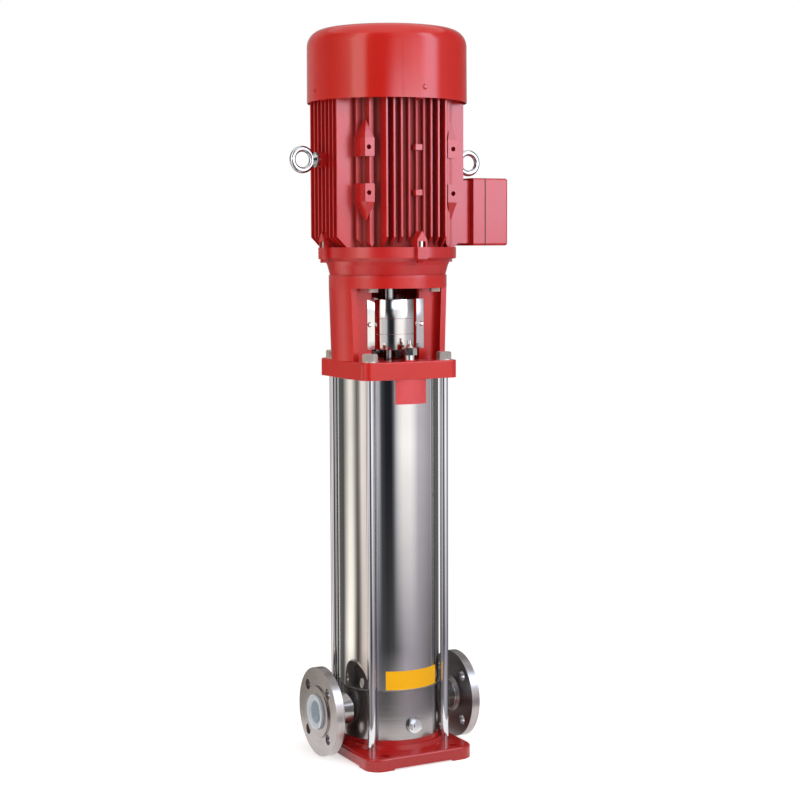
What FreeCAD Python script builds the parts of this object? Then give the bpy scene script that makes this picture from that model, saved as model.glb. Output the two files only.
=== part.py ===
"""Vertical multistage pump with a flange motor on its stool, one STEP file per piece.

Millimetres, +Z up. The origin is the centre of the foundation bolts on the floor plane,
and the pump shaft runs along +Z. The ports lie along X and the coupling windows face -Y and +Y.
"""
import FreeCAD
import Part

import math
import os

# Foundation and base plate
BASE_X = 199.0
BASE_Y = 250.0
BASE_CORNER_R = 26.0
BASE_TOP_Z = 21.5
BASE_EDGE_LIFT = 2.6
BASE_DISH_DEPTH = 12.0
BASE_WALL = 12.0
BASE_BOLT_X = 130.0
BASE_BOLT_Y = 215.0
BASE_BOLT_R = 7.0
FOOT_SIZE = 44.0
BOSS_LOW_R = 96.0
BOSS_LOW_Z = 29.0
BOSS_HIGH_Z = 36.0

# Ports
PORT_Z = 80.0
PORT_TO_PORT = 280.0
PORT_BORE_R = 21.5
NECK_R = 24.15
FLANGE_R = 75.0
FLANGE_T = 18.0
FACE_R = 44.0
FACE_T = 3.0
FLANGE_PCD = 110.0
FLANGE_HOLE_R = 9.0
FLANGE_SOCKET = 9.0
WELD_FLARE = 5.0

# Port plugs
CAP_RIM_R = 29.7
CAP_RIM_T = 4.0
CAP_MOUTH_R = 24.0
CAP_WALL = 2.5
CAP_DEPTH = 16.0
CAP_CLEAR = 0.08

# Base chamber and drain plug
CHAMBER_R = 87.0
CHAMBER_WALL = 3.5
SEAM_Z = 119.5
CUP_R = 50.0
CUP_WALL = 4.0
DRAIN_Z = 60.0
DRAIN_BOSS_R = 13.5
DRAIN_BOSS_Y = 91.0
DRAIN_THREAD_R = 6.5
DRAIN_THREAD_L = 21.0
DRAIN_COLLAR_R = 12.0
DRAIN_COLLAR_T = 3.0
DRAIN_TIP_R = 5.5
DRAIN_HEX = 17.0
DRAIN_HEX_T = 6.5

# Sleeve and its gaskets
SLEEVE_R = 85.4
SLEEVE_WALL = 1.75
GASKET_T = 1.5

# Tie rods
ROD_POS = 69.6
ROD_R = 7.0
ROD_HOLE_R = 7.6
ROD_SEAT_Z = 8.0
NUT_HEX = 22.0
NUT_T = 12.0
WASHER_R = 13.0
WASHER_T = 1.6

# Motor stool with the head plate
PLATE_SIZE = 177.2
PLATE_CORNER_R = 14.8
PLATE_Z0 = 645.4
PLATE_Z1 = 675.0
PLATE_BORE_R = 30.0
STOOL_R_LOW = 96.5
STOOL_R_TOP = 99.8
STOOL_WALL = 9.0
STOOL_WALL_HALF_Y = 43.0
RING_Z0 = 796.0
RING_Z1 = 813.6
RING_BORE_R = 50.0
SPIGOT_R = 65.0
SPIGOT_T = 5.0
WEB_T = 9.0
WEB_EDGE_X = 45.0
FLANGE_BOLT_PCD = 165.0
FLANGE_BOLT_R = 5.0

# Pump hydraulics
STAGES = 8
SUCTION_Z = 118.0
SUCTION_T = 4.0
HEAD_COVER_T = 15.0
HEAD_COVER_DEPTH = 6.0
SPIDER_H = 12.0
SPIDER_RING_H = 5.0
SPIDER_ARM_W = 9.0
STACK_TOP = PLATE_Z0 - HEAD_COVER_T + HEAD_COVER_DEPTH - SPIDER_H
STAGE_PITCH = (STACK_TOP - SUCTION_Z - SUCTION_T) / STAGES
STAGE_R = 68.0
STAGE_WALL = 2.5
DIAPHRAGM_T = 4.0
NECK_RING_R = 28.0
EYE_R = 24.0
EYE_CLEAR = 0.3
IMPELLER_R = 56.0
IMPELLER_W = 14.0
SHROUD_T = 2.0
BLADES = 5
BLADE_T = 2.0
BLADE_SWEEP_ANGLE = -70.0
VANES = 6
VANE_H = 16.0
PUMP_SHAFT_R = 8.0
SPACER_R = 12.0
FIT = 0.05

# Shaft seal
SEAL_SEAT_R = 20.0
SEAL_SEAT_T = 10.0
SEAL_FACE_R = 15.0
SEAL_HEAD_H = 22.0

# Coupling and its guards
COUPLING_R = 32.0
COUPLING_Z0 = 700.0
COUPLING_Z1 = 768.0
COUPLING_SPLIT = 1.6
SHAFT_JOINT_Z = 733.0
PIN_R = 2.5
PIN_Z = 724.0
GUARD_Y = 27.7
GUARD_AXIS_Y = 13.5
GUARD_R = 42.5
GUARD_T = 1.2
GUARD_EDGE_X = 53.5
GUARD_Z0 = 692.9
GUARD_Z1 = 776.8
GUARD_REAR_Z1 = 794.8
GUARD_SCREW_X = 49.0
GUARD_SCREW_R = 2.5

# Vent plug
VENT_Y = 77.0
VENT_BOSS_R = 10.5
VENT_BOSS_Z = 677.0
VENT_HEX = 22.0
VENT_HEX_Z0 = 685.0
VENT_HEX_Z1 = 697.5
VENT_SCREW_R = 3.0
VENT_SCREW_TOP = 709.5

# Marker plate on the sleeve
MARKER_T = 2.0
MARKER_Z0 = 604.0
MARKER_TO_PLATE = 0.3
MARKER_Z1 = PLATE_Z0 - MARKER_TO_PLATE
MARKER_HALF_ANGLE = 19.0

# Motor shaft and bearings
MOTOR_SHAFT_R = 12.0
JOURNAL_R = 12.5
BEARING_R = 26.0
BEARING_W = 15.0
BEARING_RACE_IN = 16.4
BEARING_RACE_OUT = 22.1
BALL_R = 3.9
BALLS = 7
DE_BEARING_Z = 838.0
NDE_BEARING_Z = 1114.0

# Drive-end shield
CONE_R0 = 97.8
CONE_R1 = 102.2
CONE_Z0 = 817.4
CONE_Z1 = 833.8
SHIELD_R = 115.9
SHIELD_Z0 = 844.3
SHIELD_Z1 = 863.6
EAR_R = 118.2
EAR_HALF_W = 9.0
EAR_OUT = 7.0
EAR_BOLT_R = 4.0
EAR_GROOVES = (2.1, 6.2, 12.6)
EAR_GROOVE_W = 1.0

# Motor housing
BODY_R = 99.0
BODY_BORE_R = 88.0
BODY_Z1 = 1130.0
FIN_HALF_X = 51.3
FIN_HALF_Y = 56.2
X_FINS = 8
Y_FINS = 9
FIN_ROOT_T = 4.6
FIN_TIP_T = 3.0
FIN_CHAMFER = 17.0
FIN_Z1 = 1124.0
PAD_X = 78.3
PAD_Y = 87.6
PAD_W = 20.0
PAD_H = 29.4
PAD_HOLE_R = 4.0
PAD_HOLE_DEPTH = 18.0
PAD_Z_LOW = 952.2
PAD_Z_HIGH = 1025.6
PAD_WEDGE = 30.0
PAD_BEVEL_X = 3.0
PAD_BEVEL_Y = 12.0
SPOT_Y = 113.0
SPOT_W = 12.0
SPOT_H = 9.0
SIDE_RIB_TIP = 88.7
SIDE_RIB_Y0 = 57.2
SIDE_RIB_Y1 = 62.0
SIDE_RIB_SLOPE = 14.0
FRONT_RIB_TIP = 82.0
FRONT_RIB_X0 = 67.3
FRONT_RIB_X1 = 74.6
FRONT_RIB_POINT = 7.0
RIB_ROOT = 3.0
LUG_SHOULDER = 12.4
LUG_APEX = 26.0
LUG_TOP_SHOULDER = 6.0
LUG_TOP_APEX = 22.0
LUG_TO_COWL = 9.4
POCKET_HALF_W = 6.5
POCKET_DEPTH = 10.2
POCKET_H = 9.5
EYE_Z = 1007.6
EYE_BOSS_R = 12.5
EYE_BOSS_X = 129.0

# Eyebolts
EYE_RING_R = 17.5
EYE_WIRE_R = 5.0
EYE_CENTRE_X = 157.0
EYE_COLLAR_R = 12.5
EYE_COLLAR_T = 5.0
EYE_SHANK_R = 5.0
EYE_SHANK_L = 20.0

# Stator and rotor
STATOR_BORE_R = 55.0
STATOR_Z0 = 925.0
STATOR_Z1 = 1065.0
WINDING_IN_R = 60.0
WINDING_OUT_R = 82.0
WINDING_H = 24.0
AIR_GAP = 0.6

# Non-drive-end shield, fan and cowl
NDE_T = 8.0
FAN_Z0 = 1148.0
FAN_HUB_R = 21.0
FAN_R = 105.0
FAN_BLADES = 8
FAN_BLADE_H = 34.0
COWL_R0 = 134.2
COWL_TAPER = 0.5
COWL_R1 = COWL_R0 - COWL_TAPER
COWL_Z0 = 1103.6
COWL_Z1 = 1223.8
COWL_EDGE_R = 27.6
COWL_WALL = 1.6
COWL_SLOTS = 12
COWL_SLOT_R0 = 34.0
COWL_SLOT_R1 = 88.0
COWL_SLOT_W = 9.0
COWL_SCREW_Z = 1121.0
COWL_SCREW_R = 4.5
COWL_THREAD_R = 2.6
HOOK_HALF_W = 7.0
HOOK_T = 7.0
HOOK_DROP = 5.0
HOOK_CLEAR = 0.5
FIN_X_TO_COWL = 3.5
FIN_Y_TO_COWL = 13.1
FIN_TIP_X = math.sqrt((COWL_R0 - COWL_WALL - FIN_X_TO_COWL) ** 2 - FIN_HALF_X ** 2)
FIN_TIP_Y = math.sqrt((COWL_R0 - COWL_WALL - FIN_Y_TO_COWL) ** 2 - FIN_HALF_Y ** 2)

# Terminal box
BOX_HALF_Y = 58.0
BOX_Z0 = 866.0
BOX_Z1 = 980.0
BOX_X0 = 134.5
BOX_X1 = 156.4
BOX_X2 = 202.7
BOX_GASKET_T = 2.0
BOX_WALL = 4.0
BOX_EDGE_R = 4.0
BOX_NECK_HALF_Y = 47.0
BOX_SCREW_IN = 10.0

SIDES = (-1, 1)
UP = FreeCAD.Vector(0, 0, 1)


def vec(x, y, z):
    """Return a point or a direction."""
    return FreeCAD.Vector(x, y, z)


def rod(radius, z0, z1, x=0.0, y=0.0):
    """Return an upright cylinder between two heights."""
    return Part.makeCylinder(radius, z1 - z0, vec(x, y, z0), UP)


def bar(radius, start, direction, length):
    """Return a cylinder from a point along a direction."""
    return Part.makeCylinder(radius, length, start, direction)


def ring(outer, inner, z0, z1, x=0.0, y=0.0):
    """Return an upright tube between two heights."""
    return rod(outer, z0, z1, x, y).cut(rod(inner, z0, z1, x, y))


def block(x0, x1, y0, y1, z0, z1):
    """Return a box between its limits."""
    return Part.makeBox(x1 - x0, y1 - y0, z1 - z0, vec(x0, y0, z0))


def turned(profile):
    """Return the solid of revolution of a closed (radius, height) outline about Z."""
    points = [vec(r, 0, z) for r, z in profile]
    face = Part.Face(Part.makePolygon(points + points[:1]))
    return face.revolve(vec(0, 0, 0), UP, 360)


def rounded(size_x, size_y, corner, z0, z1):
    """Return an upright plate with rounded corners."""
    plate = block(-size_x / 2, size_x / 2, -size_y / 2, size_y / 2, z0, z1)
    upright = [e for e in plate.Edges if abs(e.Vertexes[0].Z - e.Vertexes[1].Z) > 0.5 * (z1 - z0)]
    return plate.makeFillet(corner, upright)


def hexagon(flats, start, direction, length):
    """Return a hexagonal prism from a point along a direction."""
    reach = flats / math.sqrt(3)
    corners = [vec(reach * math.cos(math.radians(60 * i + 30)),
                   reach * math.sin(math.radians(60 * i + 30)), 0)
               for i in range(6)]
    prism = Part.Face(Part.makePolygon(corners + corners[:1])).extrude(vec(0, 0, length))
    prism.Placement = FreeCAD.Placement(start, FreeCAD.Rotation(UP, direction))
    return prism


def fused(shapes):
    """Return one solid made of touching or overlapping solids."""
    first, *rest = shapes
    return first.multiFuse(rest).removeSplitter() if rest else first


def group(shapes):
    """Return separate solids kept as one piece file."""
    return Part.makeCompound(shapes)


def spun(shape, angle):
    """Return a copy turned about the pump axis by an angle in degrees."""
    copy = shape.copy()
    copy.rotate(vec(0, 0, 0), UP, angle)
    return copy


def corners(half_x, half_y):
    """Return the four points of a rectangle centred on the axis."""
    return [(sx * half_x, sy * half_y) for sx in SIDES for sy in SIDES]


def base_plate():
    """Cast foot with a dished underside, four corner feet and a stepped round boss."""
    body = rounded(BASE_X, BASE_Y, BASE_CORNER_R, BASE_EDGE_LIFT, BASE_TOP_Z)
    top_edges = [e for e in body.Edges if e.BoundBox.ZMin > BASE_TOP_Z - 0.01]
    body = body.makeFillet(4.0, top_edges)
    footprint = rounded(BASE_X, BASE_Y, BASE_CORNER_R, 0.0, BASE_EDGE_LIFT)
    feet = []
    for x, y in corners(BASE_X / 2 - FOOT_SIZE / 2, BASE_Y / 2 - FOOT_SIZE / 2):
        half = FOOT_SIZE / 2
        feet.append(block(x - half, x + half, y - half, y + half, 0.0,
                          BASE_EDGE_LIFT).common(footprint))
    boss = turned([(0, BASE_TOP_Z), (BOSS_LOW_R, BASE_TOP_Z), (BOSS_LOW_R - 2, BOSS_LOW_Z),
                   (CHAMBER_R + 2, BOSS_LOW_Z), (CHAMBER_R + 1, BOSS_HIGH_Z), (0, BOSS_HIGH_Z)])
    plate = fused([body] + feet + [boss])
    dish = block(-(BASE_X / 2 - FOOT_SIZE), BASE_X / 2 - FOOT_SIZE, -(BASE_Y / 2 - BASE_WALL),
                 BASE_Y / 2 - BASE_WALL, 0.0, BASE_DISH_DEPTH)
    plate = plate.cut(dish)
    for x, y in corners(BASE_BOLT_X / 2, BASE_BOLT_Y / 2):
        plate = plate.cut(rod(BASE_BOLT_R, 0.0, BASE_TOP_Z, x, y))
    for x, y in corners(ROD_POS, ROD_POS):
        plate = plate.cut(rod(ROD_R, ROD_SEAT_Z, BOSS_HIGH_Z, x, y))
    return plate


def base_chamber():
    """Polished chamber shell with an opening for each port and a drain boss."""
    inside = CHAMBER_R - CHAMBER_WALL
    floor = BOSS_HIGH_Z + CHAMBER_WALL
    shell = turned([(0, BOSS_HIGH_Z), (CHAMBER_R, BOSS_HIGH_Z), (CHAMBER_R, SEAM_Z),
                    (SLEEVE_R - SLEEVE_WALL, SEAM_Z),
                    (inside, SEAM_Z - 3), (inside, floor), (0, floor)])
    drain = bar(DRAIN_BOSS_R, vec(0, -DRAIN_BOSS_Y, DRAIN_Z), vec(0, 1, 0), DRAIN_BOSS_Y - inside)
    drain = drain.cut(rod(inside, BOSS_HIGH_Z, SEAM_Z))
    chamber = fused([shell, drain])
    chamber = chamber.cut(bar(PORT_BORE_R, vec(-CHAMBER_R, 0, PORT_Z), vec(1, 0, 0), 2 * CHAMBER_R))
    return chamber.cut(bar(DRAIN_THREAD_R, vec(0, -DRAIN_BOSS_Y, DRAIN_Z), vec(0, 1, 0),
                           DRAIN_THREAD_L))


def suction_cup():
    """Cup under the first stage with the inner pipe that leads the inlet's water to it."""
    inside = CHAMBER_R - CHAMBER_WALL
    cup = ring(CUP_R, CUP_R - CUP_WALL, BOSS_HIGH_Z + CHAMBER_WALL, SUCTION_Z)
    start = vec(-CHAMBER_R, 0, PORT_Z)
    pipe = bar(NECK_R, start, vec(1, 0, 0), CHAMBER_R).common(rod(inside, BOSS_HIGH_Z, SEAM_Z))
    pipe = pipe.cut(rod(CUP_R - CUP_WALL / 2, BOSS_HIGH_Z, SEAM_Z))
    return fused([cup, pipe]).cut(bar(PORT_BORE_R, start, vec(1, 0, 0), CHAMBER_R))


def port_neck(side):
    """Pipe stub with its flared weld, from the chamber into the flange's socket."""
    outward = vec(side, 0, 0)
    face = PORT_TO_PORT / 2 - FLANGE_SOCKET
    start = vec(side * (CHAMBER_R - 10), 0, PORT_Z)
    tube = bar(NECK_R, start, outward, face - CHAMBER_R + 10)
    flare_start = vec(side * (CHAMBER_R - 4), 0, PORT_Z)
    flare = Part.makeCone(NECK_R + WELD_FLARE, NECK_R, 3 * WELD_FLARE, flare_start, outward)
    neck = fused([tube, flare]).cut(rod(CHAMBER_R, BOSS_HIGH_Z, SEAM_Z))
    return neck.cut(bar(PORT_BORE_R, start, outward, face))


def port_necks():
    """Both pipe stubs of the chamber."""
    return group([port_neck(side) for side in SIDES])


def port_flange(side):
    """Welding-socket flange with a raised face and four bolt holes."""
    face = side * PORT_TO_PORT / 2
    inward = vec(-side, 0, 0)
    disc = bar(FLANGE_R, vec(face - side * FACE_T, 0, PORT_Z), inward, FLANGE_T - FACE_T)
    raised = bar(FACE_R, vec(face, 0, PORT_Z), inward, FACE_T)
    hub = Part.makeCone(NECK_R + 7, NECK_R + 4, 5.0, vec(face - side * FLANGE_T, 0, PORT_Z), inward)
    flange = fused([disc, raised, hub])
    flange = flange.cut(bar(PORT_BORE_R, vec(face, 0, PORT_Z), inward, FLANGE_T + 5))
    flange = flange.cut(bar(NECK_R, vec(face - side * FLANGE_SOCKET, 0, PORT_Z), inward, FLANGE_T + 5))
    for i in range(4):
        angle = math.radians(45 + 90 * i)
        y = FLANGE_PCD / 2 * math.cos(angle)
        z = PORT_Z + FLANGE_PCD / 2 * math.sin(angle)
        flange = flange.cut(bar(FLANGE_HOLE_R, vec(face, y, z), inward, FLANGE_T))
    return flange


def port_cap(side):
    """Push-in transport plug: a flat rim and a hollow stem inside the port bore."""
    face = side * PORT_TO_PORT / 2
    outward = vec(side, 0, 0)
    stem_r = PORT_BORE_R - CAP_CLEAR
    bottom = vec(face - side * CAP_DEPTH, 0, PORT_Z)
    rim = bar(CAP_RIM_R, vec(face, 0, PORT_Z), outward, CAP_RIM_T)
    cap = fused([rim, bar(stem_r, bottom, outward, CAP_DEPTH)])
    floor = vec(face - side * (CAP_DEPTH - CAP_WALL), 0, PORT_Z)
    cap = cap.cut(bar(stem_r - CAP_WALL, floor, outward, CAP_DEPTH + CAP_RIM_T))
    mouth = Part.makeCone(stem_r - CAP_WALL, CAP_MOUTH_R, CAP_RIM_T - 1.0,
                          vec(face + side * 1.0, 0, PORT_Z), outward)
    return cap.cut(mouth)


def drain_plug():
    """Hexagon-headed plug with a sealing collar in the drain boss."""
    face = vec(0, -DRAIN_BOSS_Y, DRAIN_Z)
    shank = bar(DRAIN_THREAD_R, face, vec(0, 1, 0), 10.0)
    collar = bar(DRAIN_COLLAR_R, face, vec(0, -1, 0), DRAIN_COLLAR_T)
    head = hexagon(DRAIN_HEX, face - vec(0, DRAIN_COLLAR_T, 0), vec(0, -1, 0), DRAIN_HEX_T)
    tip = bar(DRAIN_TIP_R, face - vec(0, DRAIN_COLLAR_T + DRAIN_HEX_T, 0), vec(0, -1, 0), 1.5)
    return fused([shank, collar, head, tip])


def sleeve_gasket(z0):
    """Flat ring between one of the sleeve's ends and its seat."""
    return ring(SLEEVE_R, SLEEVE_R - SLEEVE_WALL, z0, z0 + GASKET_T)


def sleeve_gaskets():
    """Gaskets under and over the sleeve."""
    return group([sleeve_gasket(SEAM_Z), sleeve_gasket(PLATE_Z0 - GASKET_T)])


def outer_sleeve():
    """Thin polished sleeve round the stages."""
    return ring(SLEEVE_R, SLEEVE_R - SLEEVE_WALL, SEAM_Z + GASKET_T, PLATE_Z0 - GASKET_T)


def tie_rods():
    """Four rods from the foot's tapped corners up through the head plate."""
    top = PLATE_Z1 + WASHER_T + NUT_T
    rods = []
    for x, y in corners(ROD_POS, ROD_POS):
        shank = rod(ROD_R, ROD_SEAT_Z, top - 1.5, x, y)
        tip = Part.makeCone(ROD_R, ROD_R - 1.5, 1.5, vec(x, y, top - 1.5))
        rods.append(fused([shank, tip]))
    return group(rods)


def tie_rod_washers():
    """Flat washers under the tie-rod nuts."""
    return group([ring(WASHER_R, ROD_R, PLATE_Z1, PLATE_Z1 + WASHER_T, x, y) for x,
                  y in corners(ROD_POS, ROD_POS)])


def nut(flats, bore, x, y, z0, height):
    """Return a hexagon nut whose top corners are turned off."""
    body = hexagon(flats, vec(x, y, z0), UP, height)
    dome = Part.makeCone(flats / 2 + height * 1.2, flats / 2 - 0.4, height, vec(x, y, z0))
    return body.common(dome).cut(rod(bore, z0, z0 + height, x, y))


def tie_rod_nuts():
    """Four nuts that clamp the stack through the head plate."""
    seat = PLATE_Z1 + WASHER_T
    return group([nut(NUT_HEX, ROD_R, x, y, seat, NUT_T) for x, y in corners(ROD_POS, ROD_POS)])


def stool_webs():
    """Four upright webs inside the stool walls that carry the coupling guards."""
    inside = STOOL_R_LOW - STOOL_WALL / 2
    webs = []
    for sx in SIDES:
        for sy in SIDES:
            x0, x1 = sorted((sx * WEB_EDGE_X, sx * inside))
            y0, y1 = sorted((sy * (GUARD_Y - WEB_T), sy * GUARD_Y))
            webs.append(block(x0, x1, y0, y1, PLATE_Z1, RING_Z0))
    return webs


def motor_stool():
    """One casting: square head plate, two curved side walls with webs, and the motor ring."""
    plate = rounded(PLATE_SIZE, PLATE_SIZE, PLATE_CORNER_R, PLATE_Z0, PLATE_Z1)
    rims = [e for e in plate.Edges if e.BoundBox.ZMin > PLATE_Z1 - 0.01]
    plate = plate.makeFillet(2.0, rims)
    outer = Part.makeCone(STOOL_R_LOW, STOOL_R_TOP, RING_Z0 - PLATE_Z1, vec(0, 0, PLATE_Z1))
    inner = Part.makeCone(STOOL_R_LOW - STOOL_WALL, STOOL_R_TOP - STOOL_WALL, RING_Z0 - PLATE_Z1,
                          vec(0, 0, PLATE_Z1))
    wide = block(-PLATE_SIZE, PLATE_SIZE, -STOOL_WALL_HALF_Y, STOOL_WALL_HALF_Y, PLATE_Z1, RING_Z0)
    walls = outer.cut(inner).common(wide)
    trimmed = rod(STOOL_R_LOW - 1.0, PLATE_Z1, RING_Z0)
    webs = [w.common(trimmed) for w in stool_webs()]
    motor_ring = ring(STOOL_R_TOP, RING_BORE_R, RING_Z0, RING_Z1)
    boss = rod(VENT_BOSS_R, PLATE_Z1, VENT_BOSS_Z, 0, -VENT_Y)
    stool = fused([plate, walls, motor_ring, boss] + webs)
    stool = stool.cut(rod(SPIGOT_R, RING_Z1 - SPIGOT_T, RING_Z1))
    stool = stool.cut(rod(PLATE_BORE_R, PLATE_Z0, PLATE_Z1))
    stool = stool.cut(rod(VENT_SCREW_R + 3.0, PLATE_Z0, VENT_BOSS_Z, 0, -VENT_Y))
    for x, y in corners(ROD_POS, ROD_POS):
        stool = stool.cut(rod(ROD_HOLE_R, PLATE_Z0, PLATE_Z1, x, y))
    for x, y in corners(FLANGE_BOLT_PCD / math.sqrt(8), FLANGE_BOLT_PCD / math.sqrt(8)):
        stool = stool.cut(rod(FLANGE_BOLT_R, RING_Z0, RING_Z1, x, y))
    for hole in guard_screw_holes():
        stool = stool.cut(hole)
    return stool


def head_cover():
    """Disc under the head plate that closes the sleeve and carries the seal seat."""
    low = PLATE_Z0 - HEAD_COVER_T
    ceiling = low + HEAD_COVER_DEPTH
    rim = SLEEVE_R - SLEEVE_WALL
    neck_top = PLATE_Z0 + 12
    return turned([(SEAL_SEAT_R - 4, ceiling), (SEAL_SEAT_R - 4, ceiling + 2),
                   (SEAL_SEAT_R, ceiling + 2),
                   (SEAL_SEAT_R, neck_top), (PLATE_BORE_R, neck_top), (PLATE_BORE_R, PLATE_Z0),
                   (rim, PLATE_Z0), (rim, low), (rim - 3, low), (rim - 3, ceiling)])


def suction_plate():
    """Ring on the suction cup that leads the water into the first impeller's eye."""
    return turned([(NECK_RING_R, SUCTION_Z), (STAGE_R, SUCTION_Z), (STAGE_R, SUCTION_Z + SUCTION_T),
                   (NECK_RING_R, SUCTION_Z + SUCTION_T)])


def stage_floor(index):
    """Return the height of a stage's floor."""
    return SUCTION_Z + SUCTION_T + STAGE_PITCH * index


def arc_blade(r_in, r_out, sweep, thickness, z0, height):
    """Return a backward-curved blade between two radii, drawn through one midpoint."""
    def at(radius, share, offset):
        angle = math.radians(sweep * share) + offset / radius
        return vec(radius * math.cos(angle), radius * math.sin(angle), z0)

    mid = (r_in + r_out) / 2
    half = thickness / 2
    front = Part.Arc(at(r_in, 0, half), at(mid, 0.42, half), at(r_out, 1, half)).toShape()
    back = Part.Arc(at(r_out, 1, -half), at(mid, 0.42, -half), at(r_in, 0, -half)).toShape()
    tip = Part.makeLine(front.Vertexes[-1].Point, back.Vertexes[0].Point)
    root = Part.makeLine(back.Vertexes[-1].Point, front.Vertexes[0].Point)
    return Part.Face(Part.Wire([front, tip, back, root])).extrude(vec(0, 0, height))


def stage_chamber(index):
    """One stage chamber: wall, guide disc, return vanes and the diaphragm above them."""
    z0 = stage_floor(index)
    z1 = z0 + STAGE_PITCH
    guide_z = z1 - DIAPHRAGM_T - VANE_H
    wall = turned([(STAGE_R, z0), (STAGE_R, z1), (NECK_RING_R, z1), (NECK_RING_R, z1 - DIAPHRAGM_T),
                   (STAGE_R - STAGE_WALL, z1 - DIAPHRAGM_T), (STAGE_R - STAGE_WALL, z0)])
    disc = ring(STAGE_R - 8, SPACER_R + 2, guide_z - SHROUD_T, guide_z)
    vane = arc_blade(NECK_RING_R + 3, STAGE_R - 9, 38, BLADE_T, guide_z, VANE_H)
    return fused([wall, disc] + [spun(vane, 360 / VANES * i) for i in range(VANES)])


def stage_chambers():
    """The stack of identical stage chambers."""
    return group([stage_chamber(i) for i in range(STAGES)])


def top_bearing():
    """Spider on the last chamber: bush round the bearing sleeve and four arms under the cover."""
    hub = ring(SPACER_R + 5, SPACER_R + FIT, STACK_TOP - 17, STACK_TOP + SPIDER_RING_H)
    rim = ring(STAGE_R, STAGE_R - 8, STACK_TOP, STACK_TOP + SPIDER_RING_H)
    half = SPIDER_ARM_W / 2
    low = block(SPACER_R + 2, STAGE_R - 2, -half, half, STACK_TOP, STACK_TOP + SPIDER_RING_H)
    pad = block(STAGE_R - 16, STAGE_R - 2, -half, half, STACK_TOP, STACK_TOP + SPIDER_H)
    return fused([hub, rim] + [spun(low.fuse(pad), 90 * i + 45) for i in range(4)])


def neck_rings():
    """Wear rings round each impeller's eye."""
    rings = []
    for i in range(STAGES):
        z = stage_floor(i)
        rings.append(ring(NECK_RING_R, EYE_R + EYE_CLEAR, z - SUCTION_T, z))
    return group(rings)


def impeller(index):
    """Closed impeller: eye neck, two shrouds, hub and curved blades."""
    z = stage_floor(index) + 3.0
    top = z + SHROUD_T + IMPELLER_W
    front = turned([(EYE_R - 2.5, z - 6), (EYE_R, z - 6), (EYE_R, z), (IMPELLER_R, z + 1),
                    (IMPELLER_R, z + SHROUD_T + 1), (EYE_R - 2.5, z + SHROUD_T)])
    back = turned([(PUMP_SHAFT_R, z + 4), (PUMP_SHAFT_R + 4, z + 4), (PUMP_SHAFT_R + 8, top - 2),
                   (IMPELLER_R, top - 1),
                   (IMPELLER_R, top + SHROUD_T - 1), (PUMP_SHAFT_R, top + SHROUD_T)])
    blade = arc_blade(EYE_R - 3, IMPELLER_R - 0.5, BLADE_SWEEP_ANGLE, BLADE_T, z + 1,
                      IMPELLER_W + SHROUD_T - 1)
    return fused([front, back] + [spun(blade, 360 / BLADES * i) for i in range(BLADES)])


def impellers():
    """All impellers on the pump shaft."""
    return group([impeller(i) for i in range(STAGES)])


def spacer_sleeves():
    """Sleeves on the shaft between the impellers."""
    sleeves = []
    for i in range(STAGES - 1):
        z0 = stage_floor(i) + 3.0 + 2 * SHROUD_T + IMPELLER_W
        z1 = stage_floor(i + 1) + 7.0
        sleeves.append(ring(SPACER_R, PUMP_SHAFT_R, z0, z1))
    return group(sleeves)


def bearing_sleeve():
    """Hard sleeve that runs in the top bearing."""
    z0 = stage_floor(STAGES - 1) + 3.0 + 2 * SHROUD_T + IMPELLER_W
    return ring(SPACER_R, PUMP_SHAFT_R, z0, STACK_TOP + SPIDER_RING_H + 2)


def pump_shaft():
    """Pump shaft from below the first impeller up into the coupling."""
    z0 = SUCTION_Z - 12.0
    shaft = rod(PUMP_SHAFT_R, z0, SHAFT_JOINT_Z)
    return shaft.cut(bar(PIN_R, vec(-COUPLING_R, 0, PIN_Z), vec(1, 0, 0), 2 * COUPLING_R))


def seal_seat_z():
    """Return the height of the seal seat's underside."""
    return PLATE_Z0 - HEAD_COVER_T + HEAD_COVER_DEPTH + 2


def seal_seat():
    """Stationary seal ring in the head cover."""
    z0 = seal_seat_z()
    return ring(SEAL_SEAT_R, PUMP_SHAFT_R + 2, z0, z0 + SEAL_SEAT_T)


def seal_head():
    """Rotating seal ring with its carrier, clamped on the shaft above the seat."""
    z0 = seal_seat_z() + SEAL_SEAT_T + FIT
    return turned([(PUMP_SHAFT_R, z0 + 4), (PUMP_SHAFT_R + 3, z0 + 4), (PUMP_SHAFT_R + 3, z0),
                   (SEAL_FACE_R, z0),
                   (SEAL_FACE_R, z0 + 4), (SEAL_FACE_R + 3, z0 + 6),
                   (SEAL_FACE_R + 3, z0 + SEAL_HEAD_H),
                   (PUMP_SHAFT_R, z0 + SEAL_HEAD_H)])


def coupling_half(side):
    """One half shell of the clamped coupling, stepped for both shaft sizes."""
    shell = turned([(PUMP_SHAFT_R, COUPLING_Z0), (COUPLING_R - 2, COUPLING_Z0),
                    (COUPLING_R, COUPLING_Z0 + 2),
                    (COUPLING_R, COUPLING_Z1 - 2), (COUPLING_R - 2, COUPLING_Z1),
                    (MOTOR_SHAFT_R, COUPLING_Z1),
                    (MOTOR_SHAFT_R, SHAFT_JOINT_Z), (PUMP_SHAFT_R, SHAFT_JOINT_Z)])
    y0, y1 = sorted((side * COUPLING_SPLIT / 2, side * COUPLING_R))
    half = shell.common(block(-COUPLING_R, COUPLING_R, y0, y1, COUPLING_Z0, COUPLING_Z1))
    half = half.cut(bar(PIN_R, vec(-COUPLING_R, 0, PIN_Z), vec(1, 0, 0), 2 * COUPLING_R))
    for x, z in coupling_screw_points():
        half = half.cut(bar(3.0, vec(x, -COUPLING_R, z), vec(0, 1, 0), 2 * COUPLING_R))
        half = half.cut(bar(5.2, vec(x, -14, z), vec(0, -1, 0), COUPLING_R))
    return half


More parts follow.
